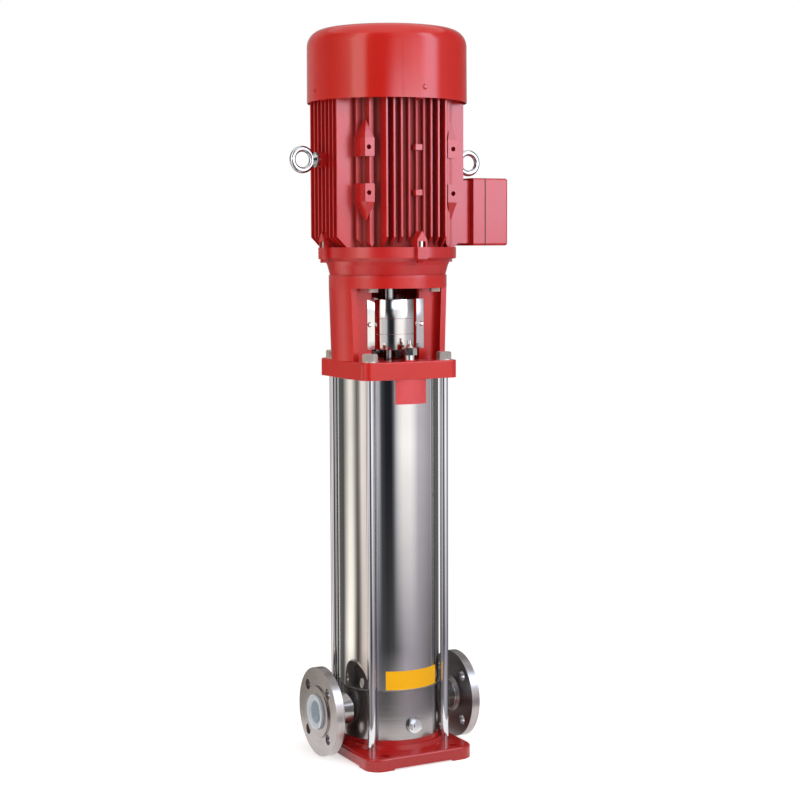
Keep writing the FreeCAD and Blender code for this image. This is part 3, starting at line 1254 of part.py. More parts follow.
def main():
    """Write one STEP file for every named piece."""
    pieces = {
        "base_plate": base_plate(),
        "base_chamber": base_chamber(),
        "port_necks": port_necks(),
        "suction_cup": suction_cup(),
        "inlet_flange": port_flange(-1),
        "outlet_flange": port_flange(1),
        "inlet_cap": port_cap(-1),
        "outlet_cap": port_cap(1),
        "drain_plug": drain_plug(),
        "sleeve_gaskets": sleeve_gaskets(),
        "outer_sleeve": outer_sleeve(),
        "tie_rods": tie_rods(),
        "tie_rod_washers": tie_rod_washers(),
        "tie_rod_nuts": tie_rod_nuts(),
        "motor_stool": motor_stool(),
        "head_cover": head_cover(),
        "suction_plate": suction_plate(),
        "stage_chambers": stage_chambers(),
        "top_bearing": top_bearing(),
        "neck_rings": neck_rings(),
        "seal_seat": seal_seat(),
        "front_guard": coupling_guard(-1, GUARD_Z1),
        "rear_guard": coupling_guard(1, GUARD_REAR_Z1),
        "guard_screws": guard_screws(),
        "vent_plug": vent_plug(),
        "vent_screw": vent_screw(),
        "marker_plate": marker_plate(),
        "drive_end_shield": drive_end_shield(),
        "flange_bolts": flange_bolts(),
        "shield_bolts": shield_bolts(),
        "motor_housing": motor_housing(),
        "eyebolts": eyebolts(),
        "stator_core": stator_core(),
        "stator_winding": stator_winding(),
        "de_bearing_outer": bearing_outer(DE_BEARING_Z),
        "nde_bearing_outer": bearing_outer(NDE_BEARING_Z),
        "nde_shield": nde_shield(),
        "fan_cowl": fan_cowl(),
        "cowl_screws": cowl_screws(),
        "terminal_box": terminal_box(),
        "terminal_gasket": terminal_gasket(),
        "terminal_cover": terminal_cover(),
        "cover_screws": cover_screws(),
        "terminal_block": terminal_block(),
        "entry_plugs": entry_plugs(),
        "pump_shaft": pump_shaft(),
        "impellers": impellers(),
        "spacer_sleeves": spacer_sleeves(),
        "bearing_sleeve": bearing_sleeve(),
        "seal_head": seal_head(),
        "coupling_halves": coupling_halves(),
        "coupling_screws": coupling_screws(),
        "coupling_pin": coupling_pin(),
        "motor_shaft": motor_shaft(),
        "rotor_core": rotor_core(),
        "de_bearing_inner": bearing_inner(DE_BEARING_Z),
        "nde_bearing_inner": bearing_inner(NDE_BEARING_Z),
        "de_ball_set": ball_set(DE_BEARING_Z),
        "nde_ball_set": ball_set(NDE_BEARING_Z),
        "fan": fan(),
    }
    os.makedirs("parts", exist_ok=True)
    for name, shape in pieces.items():
        if not shape.isValid() or shape.Volume <= 0:
            print("check", name)
        print(f"{name}: {len(shape.Solids)} solids, {shape.Volume / 1000:.1f} cm3")
        shape.exportStep(f"parts/{name}.step")


main()
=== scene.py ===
import logging
import math
from dataclasses import dataclass
from enum import Enum
from typing import Any, Callable

import bmesh
import bpy
from mathutils import Matrix, Vector

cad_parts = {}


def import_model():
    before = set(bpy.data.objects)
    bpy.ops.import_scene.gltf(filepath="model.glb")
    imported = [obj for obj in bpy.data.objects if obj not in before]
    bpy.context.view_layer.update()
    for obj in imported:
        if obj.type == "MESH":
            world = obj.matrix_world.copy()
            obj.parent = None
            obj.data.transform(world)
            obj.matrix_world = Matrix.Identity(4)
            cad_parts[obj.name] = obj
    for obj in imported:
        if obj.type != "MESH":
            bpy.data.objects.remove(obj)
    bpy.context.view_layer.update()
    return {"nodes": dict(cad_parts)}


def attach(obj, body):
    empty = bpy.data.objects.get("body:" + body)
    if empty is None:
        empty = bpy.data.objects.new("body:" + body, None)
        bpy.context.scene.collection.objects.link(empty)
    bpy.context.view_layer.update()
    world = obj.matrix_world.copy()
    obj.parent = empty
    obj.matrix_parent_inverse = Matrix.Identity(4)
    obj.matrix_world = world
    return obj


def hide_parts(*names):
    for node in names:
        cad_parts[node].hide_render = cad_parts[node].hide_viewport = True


"""Looks of the vertical multistage pump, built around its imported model.

Metres, +Z up, the pump axis on Z. The camera stands at the front left, a little above the coupling.
"""

LOG = logging.getLogger("pump")
MM = 0.001
# Turn about Z from the pump's +Y to the direction in which the camera looks.
AXIS_FROM_CAMERA = math.radians(27.793)
# Blender's noise lies nearly always between these values.
NOISE_LOW, NOISE_HIGH = 0.3, 0.7
# Metres within which two points of a mesh are one, and within which a point lies on a line.
SAME, NEAR = 1e-6, 1e-5

Colour = tuple[float, float, float, float]
Span = tuple[float, float, float, float]
Stops = tuple[tuple[float, str, float], ...]
Material = bpy.types.Material
Socket = bpy.types.NodeSocket


def linear(code: str) -> Colour:
    """Turn an sRGB hex value into linear colour.

    Args:
        code: Six hex digits after a hash.

    Returns:
        Linear red, green and blue, and an alpha of 1.
    """
    levels = [int(code[i : i + 2], 16) / 255 for i in (1, 3, 5)]
    red, green, blue = (v / 12.92 if v <= 0.04045 else ((v + 0.055) / 1.055) ** 2.4 for v in levels)
    return red, green, blue, 1.0


def per_metre(size_mm: float) -> float:
    """Texture scale that makes one feature of a pattern this many millimetres wide."""
    return 1000.0 / size_mm


def add_node(owner: Any, kind: str, inputs: dict | None = None, **settings: Any) -> bpy.types.Node:
    """Add a shader node with its settings and links.

    Args:
        owner: Material or world that gets the node.
        kind: Blender's name of the node type.
        inputs: Socket names or numbers, with a value or the socket that feeds each.
        settings: Attributes of the node.

    Returns:
        The new node.
    """
    tree = owner.node_tree
    node = tree.nodes.new(kind)
    for name, value in settings.items():
        setattr(node, name, value)
    for key, value in (inputs or {}).items():
        if isinstance(value, Socket):
            tree.links.new(value, node.inputs[key])
        else:
            node.inputs[key].default_value = value
    return node


def new_material(name: str) -> Material:
    """Make an empty material that uses nodes."""
    material = bpy.data.materials.new(name)
    material.use_nodes = True
    material.node_tree.nodes.clear()
    return material


def object_point(material: Material) -> Socket:
    """Socket with the shaded point in the object's own metres."""
    return add_node(material, "ShaderNodeTexCoord").outputs["Object"]


def mix_colours(material: Material, share: Socket, *shades: str | Socket) -> Socket:
    """Mix two colours by a share from 0 to 1.

    Args:
        material: Material that gets the node.
        share: Socket with the share of the second colour.
        shades: The two colours, each an sRGB hex value or a socket.

    Returns:
        The mixed colour.
    """
    mix = add_node(material, "ShaderNodeMix", data_type="RGBA")
    material.node_tree.links.new(share, mix.inputs[0])
    # A mix of colours has its own sockets, numbered after those for plain values.
    for number, shade in zip((6, 7), shades):
        if isinstance(shade, str):
            mix.inputs[number].default_value = linear(shade)
        else:
            material.node_tree.links.new(shade, mix.inputs[number])
    return mix.outputs[2]


def calc(owner: Any, operation: str, *values: float | Socket) -> Socket:
    """Add a calculation.

    Args:
        owner: Material or world that gets the node.
        operation: Blender's name of the operation.
        values: Numbers or sockets that it works on.

    Returns:
        The result.
    """
    return add_node(owner, "ShaderNodeMath", dict(enumerate(values)), operation=operation).outputs["Value"]


def map_range(
    owner: Any, value: Socket, low: float, high: float,
    to_low: float = 0.0, to_high: float = 1.0, kind: str = "LINEAR",
) -> Socket:
    """Stretch a span of values over another span.

    Args:
        owner: Material or world that gets the node.
        value: Value to stretch.
        low: Start of its span.
        high: End of its span.
        to_low: Result at the start.
        to_high: Result at the end.
        kind: Blender's name of the interpolation.

    Returns:
        The result, held within the new span.
    """
    spans = {"Value": value, "From Min": low, "From Max": high, "To Min": to_low, "To Max": to_high}
    return add_node(owner, "ShaderNodeMapRange", spans, interpolation_type=kind).outputs["Result"]


def noise(m: Material, point: Socket, size_mm: float, detail: float, **more: float) -> Socket:
    """Add a noise pattern.

    Args:
        m: Material that gets the node.
        point: Point at which the pattern is read.
        size_mm: Width of its features.
        detail: Layers of finer noise.
        more: Further inputs by name.

    Returns:
        The pattern's value.
    """
    inputs = {"Vector": point, "Scale": per_metre(size_mm), "Detail": detail, **more}
    return add_node(m, "ShaderNodeTexNoise", inputs).outputs["Fac"]


def bump(m: Material, height: Socket, depth_mm: float, under: Socket | None = None) -> Socket:
    """Add relief.

    Args:
        m: Material that gets the node.
        height: Pattern of the relief.
        depth_mm: Its depth.
        under: Normal of coarser relief below it.

    Returns:
        The normal.
    """
    inputs = {"Strength": 1.0, "Distance": depth_mm * MM, "Height": height}
    if under is not None:
        inputs["Normal"] = under
    return add_node(m, "ShaderNodeBump", inputs).outputs["Normal"]


class Lay(Enum):
    """Way in which the marks of a metal's finish run."""

    EVEN = "no direction"
    UPRIGHT = "drawn along the pump axis"
    ROUND_SHAFT = "turned about the pump axis"
    ROUND_PORT = "turned about the port axis"


@dataclass(frozen=True)
class Enamel:
    """Sprayed and baked enamel over metal."""

    name: str
    colour: str
    deep: str
    roughness: float = 0.2
    peel_mm: float = 5.0
    peel_depth_mm: float = 0.01
    cast_mm: float = 1.4
    cast_depth_mm: float = 0.0
    bare_above: float = 0.0
    ior: float = 1.5
    # The groove fields paint shade on the fin gaps' floors: radius of the floor, shade colour, rise over which
    # it fades, its share and the added roughness.
    groove_floor: float = 0.0
    groove_shade_colour: str = ""
    groove_rise: float = 0.011
    groove_shade_share: float = 0.75
    groove_matt: float = 0.6
    cloud_mm: float = 90.0
    gloss_swing: float = 0.15
    bare_colour: str = "#E4DDD4"

    def build(self) -> Material:
        """Make the material.

        Returns:
            Gloss enamel with orange peel, and under it the grain of the mould where the metal is cast.
        """
        m = new_material(self.name)
        point = object_point(m)
        cloud = noise(m, point, self.cloud_mm, 3.0)
        colour = mix_colours(m, cloud, self.deep, self.colour)
        normal = bump(m, noise(m, point, self.peel_mm, 1.0), self.peel_depth_mm)
        dullest = self.roughness * (1 + self.gloss_swing)
        rough = map_range(m, cloud, NOISE_LOW, NOISE_HIGH, self.roughness * (1 - self.gloss_swing), dullest)
        if self.groove_floor:
            # Painted shade: towards the bottom of each deep fin gap the enamel turns darker, and its gloss
            # duller.
            level = {0: point, 1: (1.0, 1.0, 0.0)}
            across = add_node(m, "ShaderNodeVectorMath", level, operation="MULTIPLY").outputs["Vector"]
            reach = add_node(m, "ShaderNodeVectorMath", {0: across}, operation="LENGTH").outputs["Value"]
            sprayed = self.groove_floor + self.groove_rise
            thin = map_range(m, reach, self.groove_floor, sprayed, self.groove_shade_share, 0.0)
            colour = mix_colours(m, thin, colour, self.groove_shade_colour)
            rough = calc(m, "MULTIPLY_ADD", thin, self.groove_matt, rough)
        if self.cast_depth_mm:
            normal = bump(m, noise(m, point, self.cast_mm, 4.0, Roughness=0.65), self.cast_depth_mm, normal)
        surface = {"Base Color": colour, "Roughness": rough, "IOR": self.ior, "Normal": normal}
        if self.bare_above:
            height = add_node(m, "ShaderNodeSeparateXYZ", {"Vector": point}).outputs["Z"]
            bare = calc(m, "GREATER_THAN", height, self.bare_above)
            surface["Metallic"] = bare
            surface["Base Color"] = mix_colours(m, bare, colour, self.bare_colour)
        paint = add_node(m, "ShaderNodeBsdfPrincipled", surface)
        add_node(m, "ShaderNodeOutputMaterial", {"Surface": paint.outputs["BSDF"]})
        return m


@dataclass(frozen=True)
class Metal:
    """Bare or plated metal."""

    name: str
    colour: str
    dull: str
    roughness: float = 0.2
    spread: float = 0.05
    lay: Lay = Lay.EVEN
    mark_mm: float = 1.0
    mark_depth_mm: float = 0.002
    wave_mm: float = 0.0
    wave_depth_mm: float = 0.0
    cast_skin_and_shade: str = ""
    cast_inside: float = 0.0
    cast_matt: float = 0.12
    patch_mm: float = 35.0
    stretch: float = 0.004
    sharpest: float = 0.02

    def marks_point(self, m: Material) -> Socket:
        """Give the point at which the pattern of marks is read.

        Args:
            m: Material that gets the nodes.

        Returns:
            A socket whose point stretches the pattern along the lay.
        """
        point = object_point(m)
        if self.lay is Lay.EVEN:
            return point
        if self.lay is Lay.UPRIGHT:
            drawn = {"Vector": point, "Scale": (1.0, 1.0, self.stretch)}
            return add_node(m, "ShaderNodeMapping", drawn).outputs["Vector"]
        if self.lay is Lay.ROUND_PORT:
            tilt = (0.0, math.radians(90), 0.0)
            turn = {"Vector": point, "Location": (-Ports.height, 0.0, 0.0), "Rotation": tilt}
            point = add_node(m, "ShaderNodeMapping", turn).outputs["Vector"]
        parts = add_node(m, "ShaderNodeSeparateXYZ", {"Vector": point})
        flat = add_node(m, "ShaderNodeCombineXYZ", {"X": parts.outputs["X"], "Y": parts.outputs["Y"]})
        radius = add_node(m, "ShaderNodeVectorMath", {0: flat.outputs["Vector"]}, operation="LENGTH")
        marks = {"X": radius.outputs["Value"], "Y": parts.outputs["Z"]}
        return add_node(m, "ShaderNodeCombineXYZ", marks).outputs["Vector"]

    def build(self) -> Material:
        """Make the material.

        Returns:
            Metal with tool or polishing marks in its gloss and its surface.
        """
        m = new_material(self.name)
        marks = noise(m, self.marks_point(m), self.mark_mm, 2.0, Roughness=0.6)
        patches = noise(m, object_point(m), self.patch_mm, 4.0)
        colour = mix_colours(m, patches, self.dull, self.colour)
        sharp = max(self.roughness - self.spread, self.sharpest)
        rough = map_range(m, marks, NOISE_LOW, NOISE_HIGH, sharp, self.roughness + self.spread)
        # Inside the turned faces the flanges are darker and duller: cast skin, and painted shade on their
        # backs.
        if self.cast_skin_and_shade:
            across = add_node(m, "ShaderNodeSeparateXYZ", {"Vector": object_point(m)}).outputs["X"]
            cast = calc(m, "LESS_THAN", calc(m, "ABSOLUTE", across), self.cast_inside)
            colour = mix_colours(m, cast, colour, self.cast_skin_and_shade)
            rough = calc(m, "MULTIPLY_ADD", cast, self.cast_matt, rough)
        normal = bump(m, marks, self.mark_depth_mm)
        if self.wave_mm:
            normal = bump(m, noise(m, object_point(m), self.wave_mm, 1.0), self.wave_depth_mm, normal)
        steel = add_node(
            m, "ShaderNodeBsdfPrincipled",
            {"Base Color": colour, "Metallic": 1.0, "Roughness": rough, "Normal": normal},
        )
        add_node(m, "ShaderNodeOutputMaterial", {"Surface": steel.outputs["BSDF"]})
        return m


@dataclass(frozen=True)
class Plastic:
    """Moulded plastic, rubber, resin or ceramic."""

    name: str
    colour: str
    deep: str
    roughness: float = 0.4
    mottle_mm: float = 12.0
    grain_mm: float = 0.6
    grain_depth_mm: float = 0.01
    ior: float = 1.5
    milky: float = 0.0
    clear: float = 0.0
    light_depth: float = 0.004

    def build(self) -> Material:
        """Make the material.

        Returns:
            Plastic with a fine moulded grain, which light enters where it is milky.
        """
        m = new_material(self.name)
        point = object_point(m)
        colour = mix_colours(m, noise(m, point, self.mottle_mm, 2.0), self.deep, self.colour)
        normal = bump(m, noise(m, point, self.grain_mm, 2.0), self.grain_depth_mm)
        body = add_node(
            m, "ShaderNodeBsdfPrincipled",
            {"Base Color": colour, "Roughness": self.roughness, "IOR": self.ior,
             "Normal": normal, "Transmission Weight": self.clear,
             "Subsurface Weight": self.milky, "Subsurface Radius": (1.0, 1.0, 1.0),
             "Subsurface Scale": self.light_depth},
        )
        add_node(m, "ShaderNodeOutputMaterial", {"Surface": body.outputs["BSDF"]})
        return m


class Finishes:
    """Every finish on the pump, each built once."""

    # Alkyd enamel sprayed on a deep-drawn steel cup: very smooth, a faint orange peel, sharp reflections.
    sheet_enamel = Enamel("enamel_on_pressed_steel", "#CF271F", "#C6231C", 0.15, 7.0, 0.006)
    # Same enamel over die-cast aluminium: softer gloss, and painted shade with a duller gloss on the floors
    # between the fins.
    housing_enamel = Enamel(
        "enamel_on_die_cast_housing", "#C92421", "#BB1C1D", 0.22, 5.0, 0.012, 1.2, 0.03,
        ior=1.62, groove_floor=0.1, groove_shade_colour="#6E1815",
    )
    # The motor's shields and terminal box have the housing's skin, but no painted shade in fin gaps.
    shield_enamel = Enamel(
        "enamel_on_die_cast_shield", "#C92421", "#BB1C1D", 0.22, 5.0, 0.012, 1.2, 0.03, ior=1.62
    )
    # Same enamel over sand-cast iron: the grain of the mould shows through as fine sparkle.
    iron_enamel = Enamel("enamel_on_sand_cast_iron", "#D0261F", "#C41E1C", 0.23, 4.0, 0.03, 1.8, 0.11)
    # Dipped base casting: thick paint runs smooth, gloss stays high.
    base_enamel = Enamel("thick_enamel_on_cast_base", "#BA2522", "#AC1F1F", 0.14, 8.0, 0.05, 2.4, 0.04)
    # Small spray-painted plate, paler and more coral than the castings.
    plate_enamel = Enamel("coral_enamel_on_marker_plate", "#DC4C50", "#D5464B", 0.3, 4.0, 0.008)
    # Bolt painted along with the shield's ear; its end in the housing's pocket stays bare.
    painted_bolt = Enamel("enamel_over_bolt_head", "#B51D1D", "#A51819", 0.26, 3.0, 0.02, bare_above=0.8636)
    # Deep-drawn stainless tube, mirror polished along its length: bands of the room run straight down it.
    mirror_tube = Metal(
        "stainless_mirror_polished_tube", "#D6D4D3", "#CCCAC9", 0.055, 0.03, Lay.UPRIGHT, 1.2, 0.0006,
        60.0, 0.02,
    )
    # Polished stainless sheet bent into the coupling guards: sharp reflections, a little wavy.
    mirror_sheet = Metal(
        "stainless_mirror_polished_sheet", "#DBD8D4", "#CFCCC9", 0.06, 0.02, Lay.UPRIGHT, 2.0, 0.0008,
        30.0, 0.02,
    )
    # Pressed stainless chamber, satin finished by turning: reflections smear sideways.
    satin_chamber = Metal(
        "stainless_satin_turned_chamber", "#ACA8A7", "#9C9897", 0.21, 0.05, Lay.ROUND_SHAFT, 0.9, 0.004
    )
    # Turned stainless flange: rings of the tool on the face; behind it the skin of the casting, darker and
    # duller partly as cast skin and partly as painted shade.
    turned_flange = Metal(
        "stainless_turned_flange", "#BDB6B5", "#A29B9A", 0.27, 0.1, Lay.ROUND_PORT, 0.9, 0.012,
        cast_skin_and_shade="#8E8886", cast_inside=0.1225,
    )
    # Bright-drawn and chromed tie rod: near mirror.
    bright_rod = Metal("chromed_bright_drawn_rod", "#DADBDE", "#D0D1D5", 0.07, 0.02, Lay.UPRIGHT, 0.8, 0.0006)
    # Polished forging with bright zinc: near mirror, softly uneven.
    bright_forging = Metal("bright_zinc_on_forged_steel", "#DCDCDC", "#C4C4C6", 0.12, 0.04, Lay.EVEN, 6.0, 0.02)
    # Nickel-plated brass vent, brighter than the steel round it.
    nickel_vent = Metal("nickel_plated_vent", "#EDEBE6", "#DCDAD4", 0.2, 0.05, Lay.EVEN, 3.0, 0.01)
    # Zinc-plated fastener with a warm chromate tint.
    zinc_bolt = Metal("zinc_plated_bolt_steel", "#ECE6DC", "#D6CFC4", 0.42, 0.08, Lay.EVEN, 1.6, 0.015)
    # Flange bolt with a dull cream passivation.
    cream_bolt = Metal("dull_passivated_bolt_steel", "#F2EBDF", "#DDD5C8", 0.5, 0.1, Lay.EVEN, 1.2, 0.02)
    # Ground stainless shaft: fine rings, soft shine.
    ground_shaft = Metal("ground_stainless_shaft", "#A9A8A6", "#9B9997", 0.2, 0.04, Lay.ROUND_SHAFT, 0.5, 0.002)
    # Pressed stainless hydraulics: dull satin, no direction.
    pressed_stage = Metal("pressed_stainless_stage", "#C4C2BF", "#B2AFAC", 0.28, 0.06, Lay.EVEN, 3.0, 0.01)
    # Machined grey iron: dark, with clear rings of the tool.
    coupling_iron = Metal(
        "machined_grey_iron_coupling", "#6E6C6A", "#5A5856", 0.36, 0.08, Lay.ROUND_SHAFT, 0.8, 0.01
    )
    # Ground bearing steel: almost a mirror.
    ground_race = Metal("ground_bearing_steel", "#D2D2D2", "#C4C4C4", 0.1, 0.03, Lay.ROUND_SHAFT, 0.4, 0.001)
    # Stacked electrical sheet: dull, with the lines of its layers.
    core_sheet = Metal("stacked_electrical_sheet", "#6F6C69", "#5A5754", 0.45, 0.08, Lay.ROUND_SHAFT, 0.8, 0.03)
    # Varnished copper wire: brown gloss in coarse turns.
    winding_copper = Metal(
        "enamelled_copper_winding", "#B8692F", "#8F4A1E", 0.3, 0.08, Lay.ROUND_SHAFT, 1.4, 0.15
    )
    # Natural polyethylene plug: milky, light comes through its thin wall.
    milky_cap = Plastic(
        "natural_polyethylene_plug", "#D5DDE4", "#BFC9D2", 0.34, 20.0, 2.0, 0.01, 1.51, 0.5, 0.05
    )
    # Filled resin: off-white, eggshell gloss.
    seal_white = Plastic("filled_white_seal_resin", "#DAD6CC", "#CFCABF", 0.45)
    # Sintered carbide: dark grey, a dull shine.
    seal_dark = Plastic("sintered_carbide_seal", "#3A3B3F", "#2C2D31", 0.3)
    # Gasket: flat mid-grey with a fine felt grain; the grey is a painted highlight for the bright edges along
    # the seam.
    gasket_as_seam_highlight = Plastic("grey_gasket_as_seam_highlight", "#8C8986", "#7A7774", 0.6, 6.0, 0.4, 0.02)
    # Nitrile rubber: flat black.
    black_rubber = Plastic("black_nitrile_rubber", "#26262A", "#1C1C1F", 0.6, 8.0, 0.5, 0.02)
    # Glass-filled polyamide: black, slightly grainy shine.
    black_plastic = Plastic("glass_filled_black_polyamide", "#27282B", "#1B1C1E", 0.5, 10.0, 0.7, 0.02)
    # Smooth foil on the sleeve: flat even yellow, without any lettering.
    yellow_foil = Plastic("yellow_polyester_foil", "#FFBE0A", "#FFB907", 0.4, 25.0, 3.0, 0.004, 1.3)

    def __init__(self) -> None:
        """Start with nothing built."""
        self._made: dict[str, Material] = {}

    def of(self, finish: Enamel | Metal | Plastic) -> Material:
        """Give the material of a finish.

        Args:
            finish: The finish.

        Returns:
            Its material, built when it is first asked for.
        """
        if finish.name not in self._made:
            self._made[finish.name] = finish.build()
        return self._made[finish.name]


def deselect_all() -> None:
    """Leave no object selected."""
    for thing in list(bpy.context.selected_objects):
        thing.select_set(False)


def named_primitive(name: str) -> bpy.types.Object:
    """Name the primitive just added and put its place into its mesh.

    Args:
        name: Name of the piece.

    Returns:
        The new object, which alone is selected.
    """
    thing = bpy.context.active_object
    thing.name = name
    thing.data.name = name
    bpy.ops.object.transform_apply(location=True, rotation=True, scale=True)
    return thing


def pick(thing: bpy.types.Object, wanted: Callable[[Vector], bool], kind: str = "VERT") -> None:
    """Select the vertices or faces whose place passes a test, in edit mode.

    Args:
        thing: Object in edit mode.
        wanted: Test of a point.
        kind: VERT or FACE.
    """
    bpy.ops.mesh.select_mode(type=kind)
    mesh = bmesh.from_edit_mesh(thing.data)
    for part in (*mesh.faces, *mesh.edges, *mesh.verts):
        part.select_set(False)
    if kind == "FACE":
        chosen = [face for face in mesh.faces if wanted(face.calc_center_median())]
    else:
        chosen = [vert for vert in mesh.verts if wanted(vert.co)]
    for part in chosen:
        part.select_set(True)
    mesh.select_flush_mode()
    bmesh.update_edit_mesh(thing.data)


def apply_modifier(thing: bpy.types.Object, kind: str, **settings: Any) -> None:
    """Add a modifier with its settings and apply it at once."""
    modifier = thing.modifiers.new(kind.lower(), kind)
    for name, value in settings.items():
        setattr(modifier, name, value)
    bpy.context.view_layer.objects.active = thing
    bpy.ops.object.modifier_apply(modifier=modifier.name)


def finish_piece(
    thing: bpy.types.Object, body: str, material: Material, smooth: float = 35.0
) -> None:
    """Give a new piece its smooth shading, its material and its body.

    Args:
        thing: Finished object.
        body: Body that the piece moves with.
        material: Material of the whole piece.
        smooth: Angle in degrees up to which edges are shaded smooth.
    """
    deselect_all()
    thing.select_set(True)
    bpy.context.view_layer.objects.active = thing
    bpy.ops.object.shade_smooth_by_angle(angle=math.radians(smooth))
    thing.data.materials.clear()
    thing.data.materials.append(material)
    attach(thing, body)
    LOG.info("piece %s rides %s, %d faces", thing.name, body, len(thing.data.polygons))


def front_angle(point: Vector) -> float:
    """Angle in degrees of a point about the pump axis, from -Y towards +X."""
    return math.degrees(math.atan2(point.x, -point.y))


@dataclass
class SubAssembly:
    """Part of the pump that dresses its own nodes."""

    nodes: dict[str, bpy.types.Object]
    finishes: Finishes

    def paint(self, finish: Enamel | Metal | Plastic, *names: str) -> None:
        """Give CAD nodes a finish.

        Args:
            finish: The finish.
            names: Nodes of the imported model.
        """
        material = self.finishes.of(finish)
        for name in names:
            data = self.nodes[name].data
            data.materials.clear()
            data.materials.append(material)
            LOG.info("node %s is %s", name, finish.name)

    def dress(self) -> None:
        """Give every node and every new piece of the sub-assembly its finish."""
        raise NotImplementedError


@dataclass
class BaseUnit(SubAssembly):
    """Cast base, tie rods and the plugged chamber on it."""

    def dress(self) -> None:
        """Give the base, the chamber and the rods their finishes."""
        f = Finishes
        self.paint(f.base_enamel, "base_plate")
        self.paint(f.satin_chamber, "base_chamber", "port_necks")
        self.paint(f.bright_rod, "tie_rods")
        self.paint(f.zinc_bolt, "tie_rod_nuts", "tie_rod_washers")
        self.paint(f.bright_forging, "drain_plug")
        # The gaskets' mid-grey is a painted highlight along the sleeve's seams.
        self.paint(f.gasket_as_seam_highlight, "sleeve_gaskets")


@dataclass
class Ports(SubAssembly):
    """Welded flanges with their shipping plugs."""

    height: float = 0.080
    neck_radius: float = 0.02415
    hub_end: float = 0.1166
    bead: float = 0.0022
    bead_lift: float = 0.35
    ripples: int = 72
    ripple_rise: float = 0.00028

    def weld_ring(self, name: str, x: float) -> bpy.types.Object:
        """Model one weld bead round a port neck.

        Args:
            name: Name of the piece.
            x: Place of the bead along the port axis.

        Returns:
            The bead with its ripples.
        """
        deselect_all()
        bpy.ops.mesh.primitive_torus_add(
            major_radius=self.neck_radius + self.bead * self.bead_lift, minor_radius=self.bead,
            major_segments=self.ripples * 2, minor_segments=12,
            location=(x, 0.0, self.height), rotation=(0.0, math.radians(90), 0.0),
        )
        ring = named_primitive(name)
        bpy.ops.object.mode_set(mode="EDIT")
        step = 2 * math.pi / self.ripples
        pick(ring, lambda p: round(math.atan2(p.z - self.height, p.y) / step * 2) % 2 == 0)
        bpy.ops.transform.shrink_fatten(value=self.ripple_rise)
        bpy.ops.object.mode_set(mode="OBJECT")
        return ring

    def dress(self) -> None:
        """Give the flanges and plugs their finishes and add the weld beads."""
        f = Finishes
        self.paint(f.turned_flange, "inlet_flange", "outlet_flange")
        self.paint(f.milky_cap, "inlet_cap", "outlet_cap")
        for side, label in ((-1, "inlet"), (1, "outlet")):
            bead = self.weld_ring(f"{label}_neck_weld", side * self.hub_end)
            finish_piece(bead, "frame", self.finishes.of(f.satin_chamber), 60.0)


@dataclass
class PumpBody(SubAssembly):
    """Polished sleeve with its label and the hydraulics inside."""

    radius: float = 0.0854
    label_low: float = 0.122
    label_high: float = 0.154
    label_from: float = -31.4
    label_to: float = 38.4
    foil: float = 0.00025
    foil_glue: float = 0.00006

    def sleeve_label(self) -> bpy.types.Object:
        """Model the bare yellow foil that wraps the sleeve above its lower joint.

        Returns:
            A thin curved plate with softened edges.
        """
        deselect_all()
        bpy.ops.mesh.primitive_cylinder_add(
            vertices=720, radius=self.radius + self.foil_glue, depth=self.label_high - self.label_low,
            end_fill_type="NOTHING", location=(0.0, 0.0, (self.label_low + self.label_high) / 2),
        )
        label = named_primitive("sleeve_label")
        bpy.ops.object.mode_set(mode="EDIT")
        pick(label, lambda p: not self.label_from <= front_angle(p) <= self.label_to, "FACE")
        bpy.ops.mesh.delete(type="FACE")
        bpy.ops.object.mode_set(mode="OBJECT")
        apply_modifier(label, "SOLIDIFY", thickness=self.foil, offset=1.0)
        apply_modifier(label, "BEVEL", width=self.foil_glue, segments=1, limit_method="ANGLE")
        return label

    def dress(self) -> None:
        """Give the sleeve and the hydraulics their finishes and add the label."""
        f = Finishes
        self.paint(f.mirror_tube, "outer_sleeve")
        self.paint(f.plate_enamel, "marker_plate")
        self.paint(f.pressed_stage, "head_cover", "suction_cup", "suction_plate", "stage_chambers")
        self.paint(f.pressed_stage, "top_bearing", "impellers")
        self.paint(f.seal_white, "neck_rings", "seal_seat")
        self.paint(f.ground_shaft, "pump_shaft", "spacer_sleeves")
        self.paint(f.seal_dark, "bearing_sleeve", "seal_head")
        label = self.sleeve_label()
        finish_piece(label, "frame", self.finishes.of(f.yellow_foil))


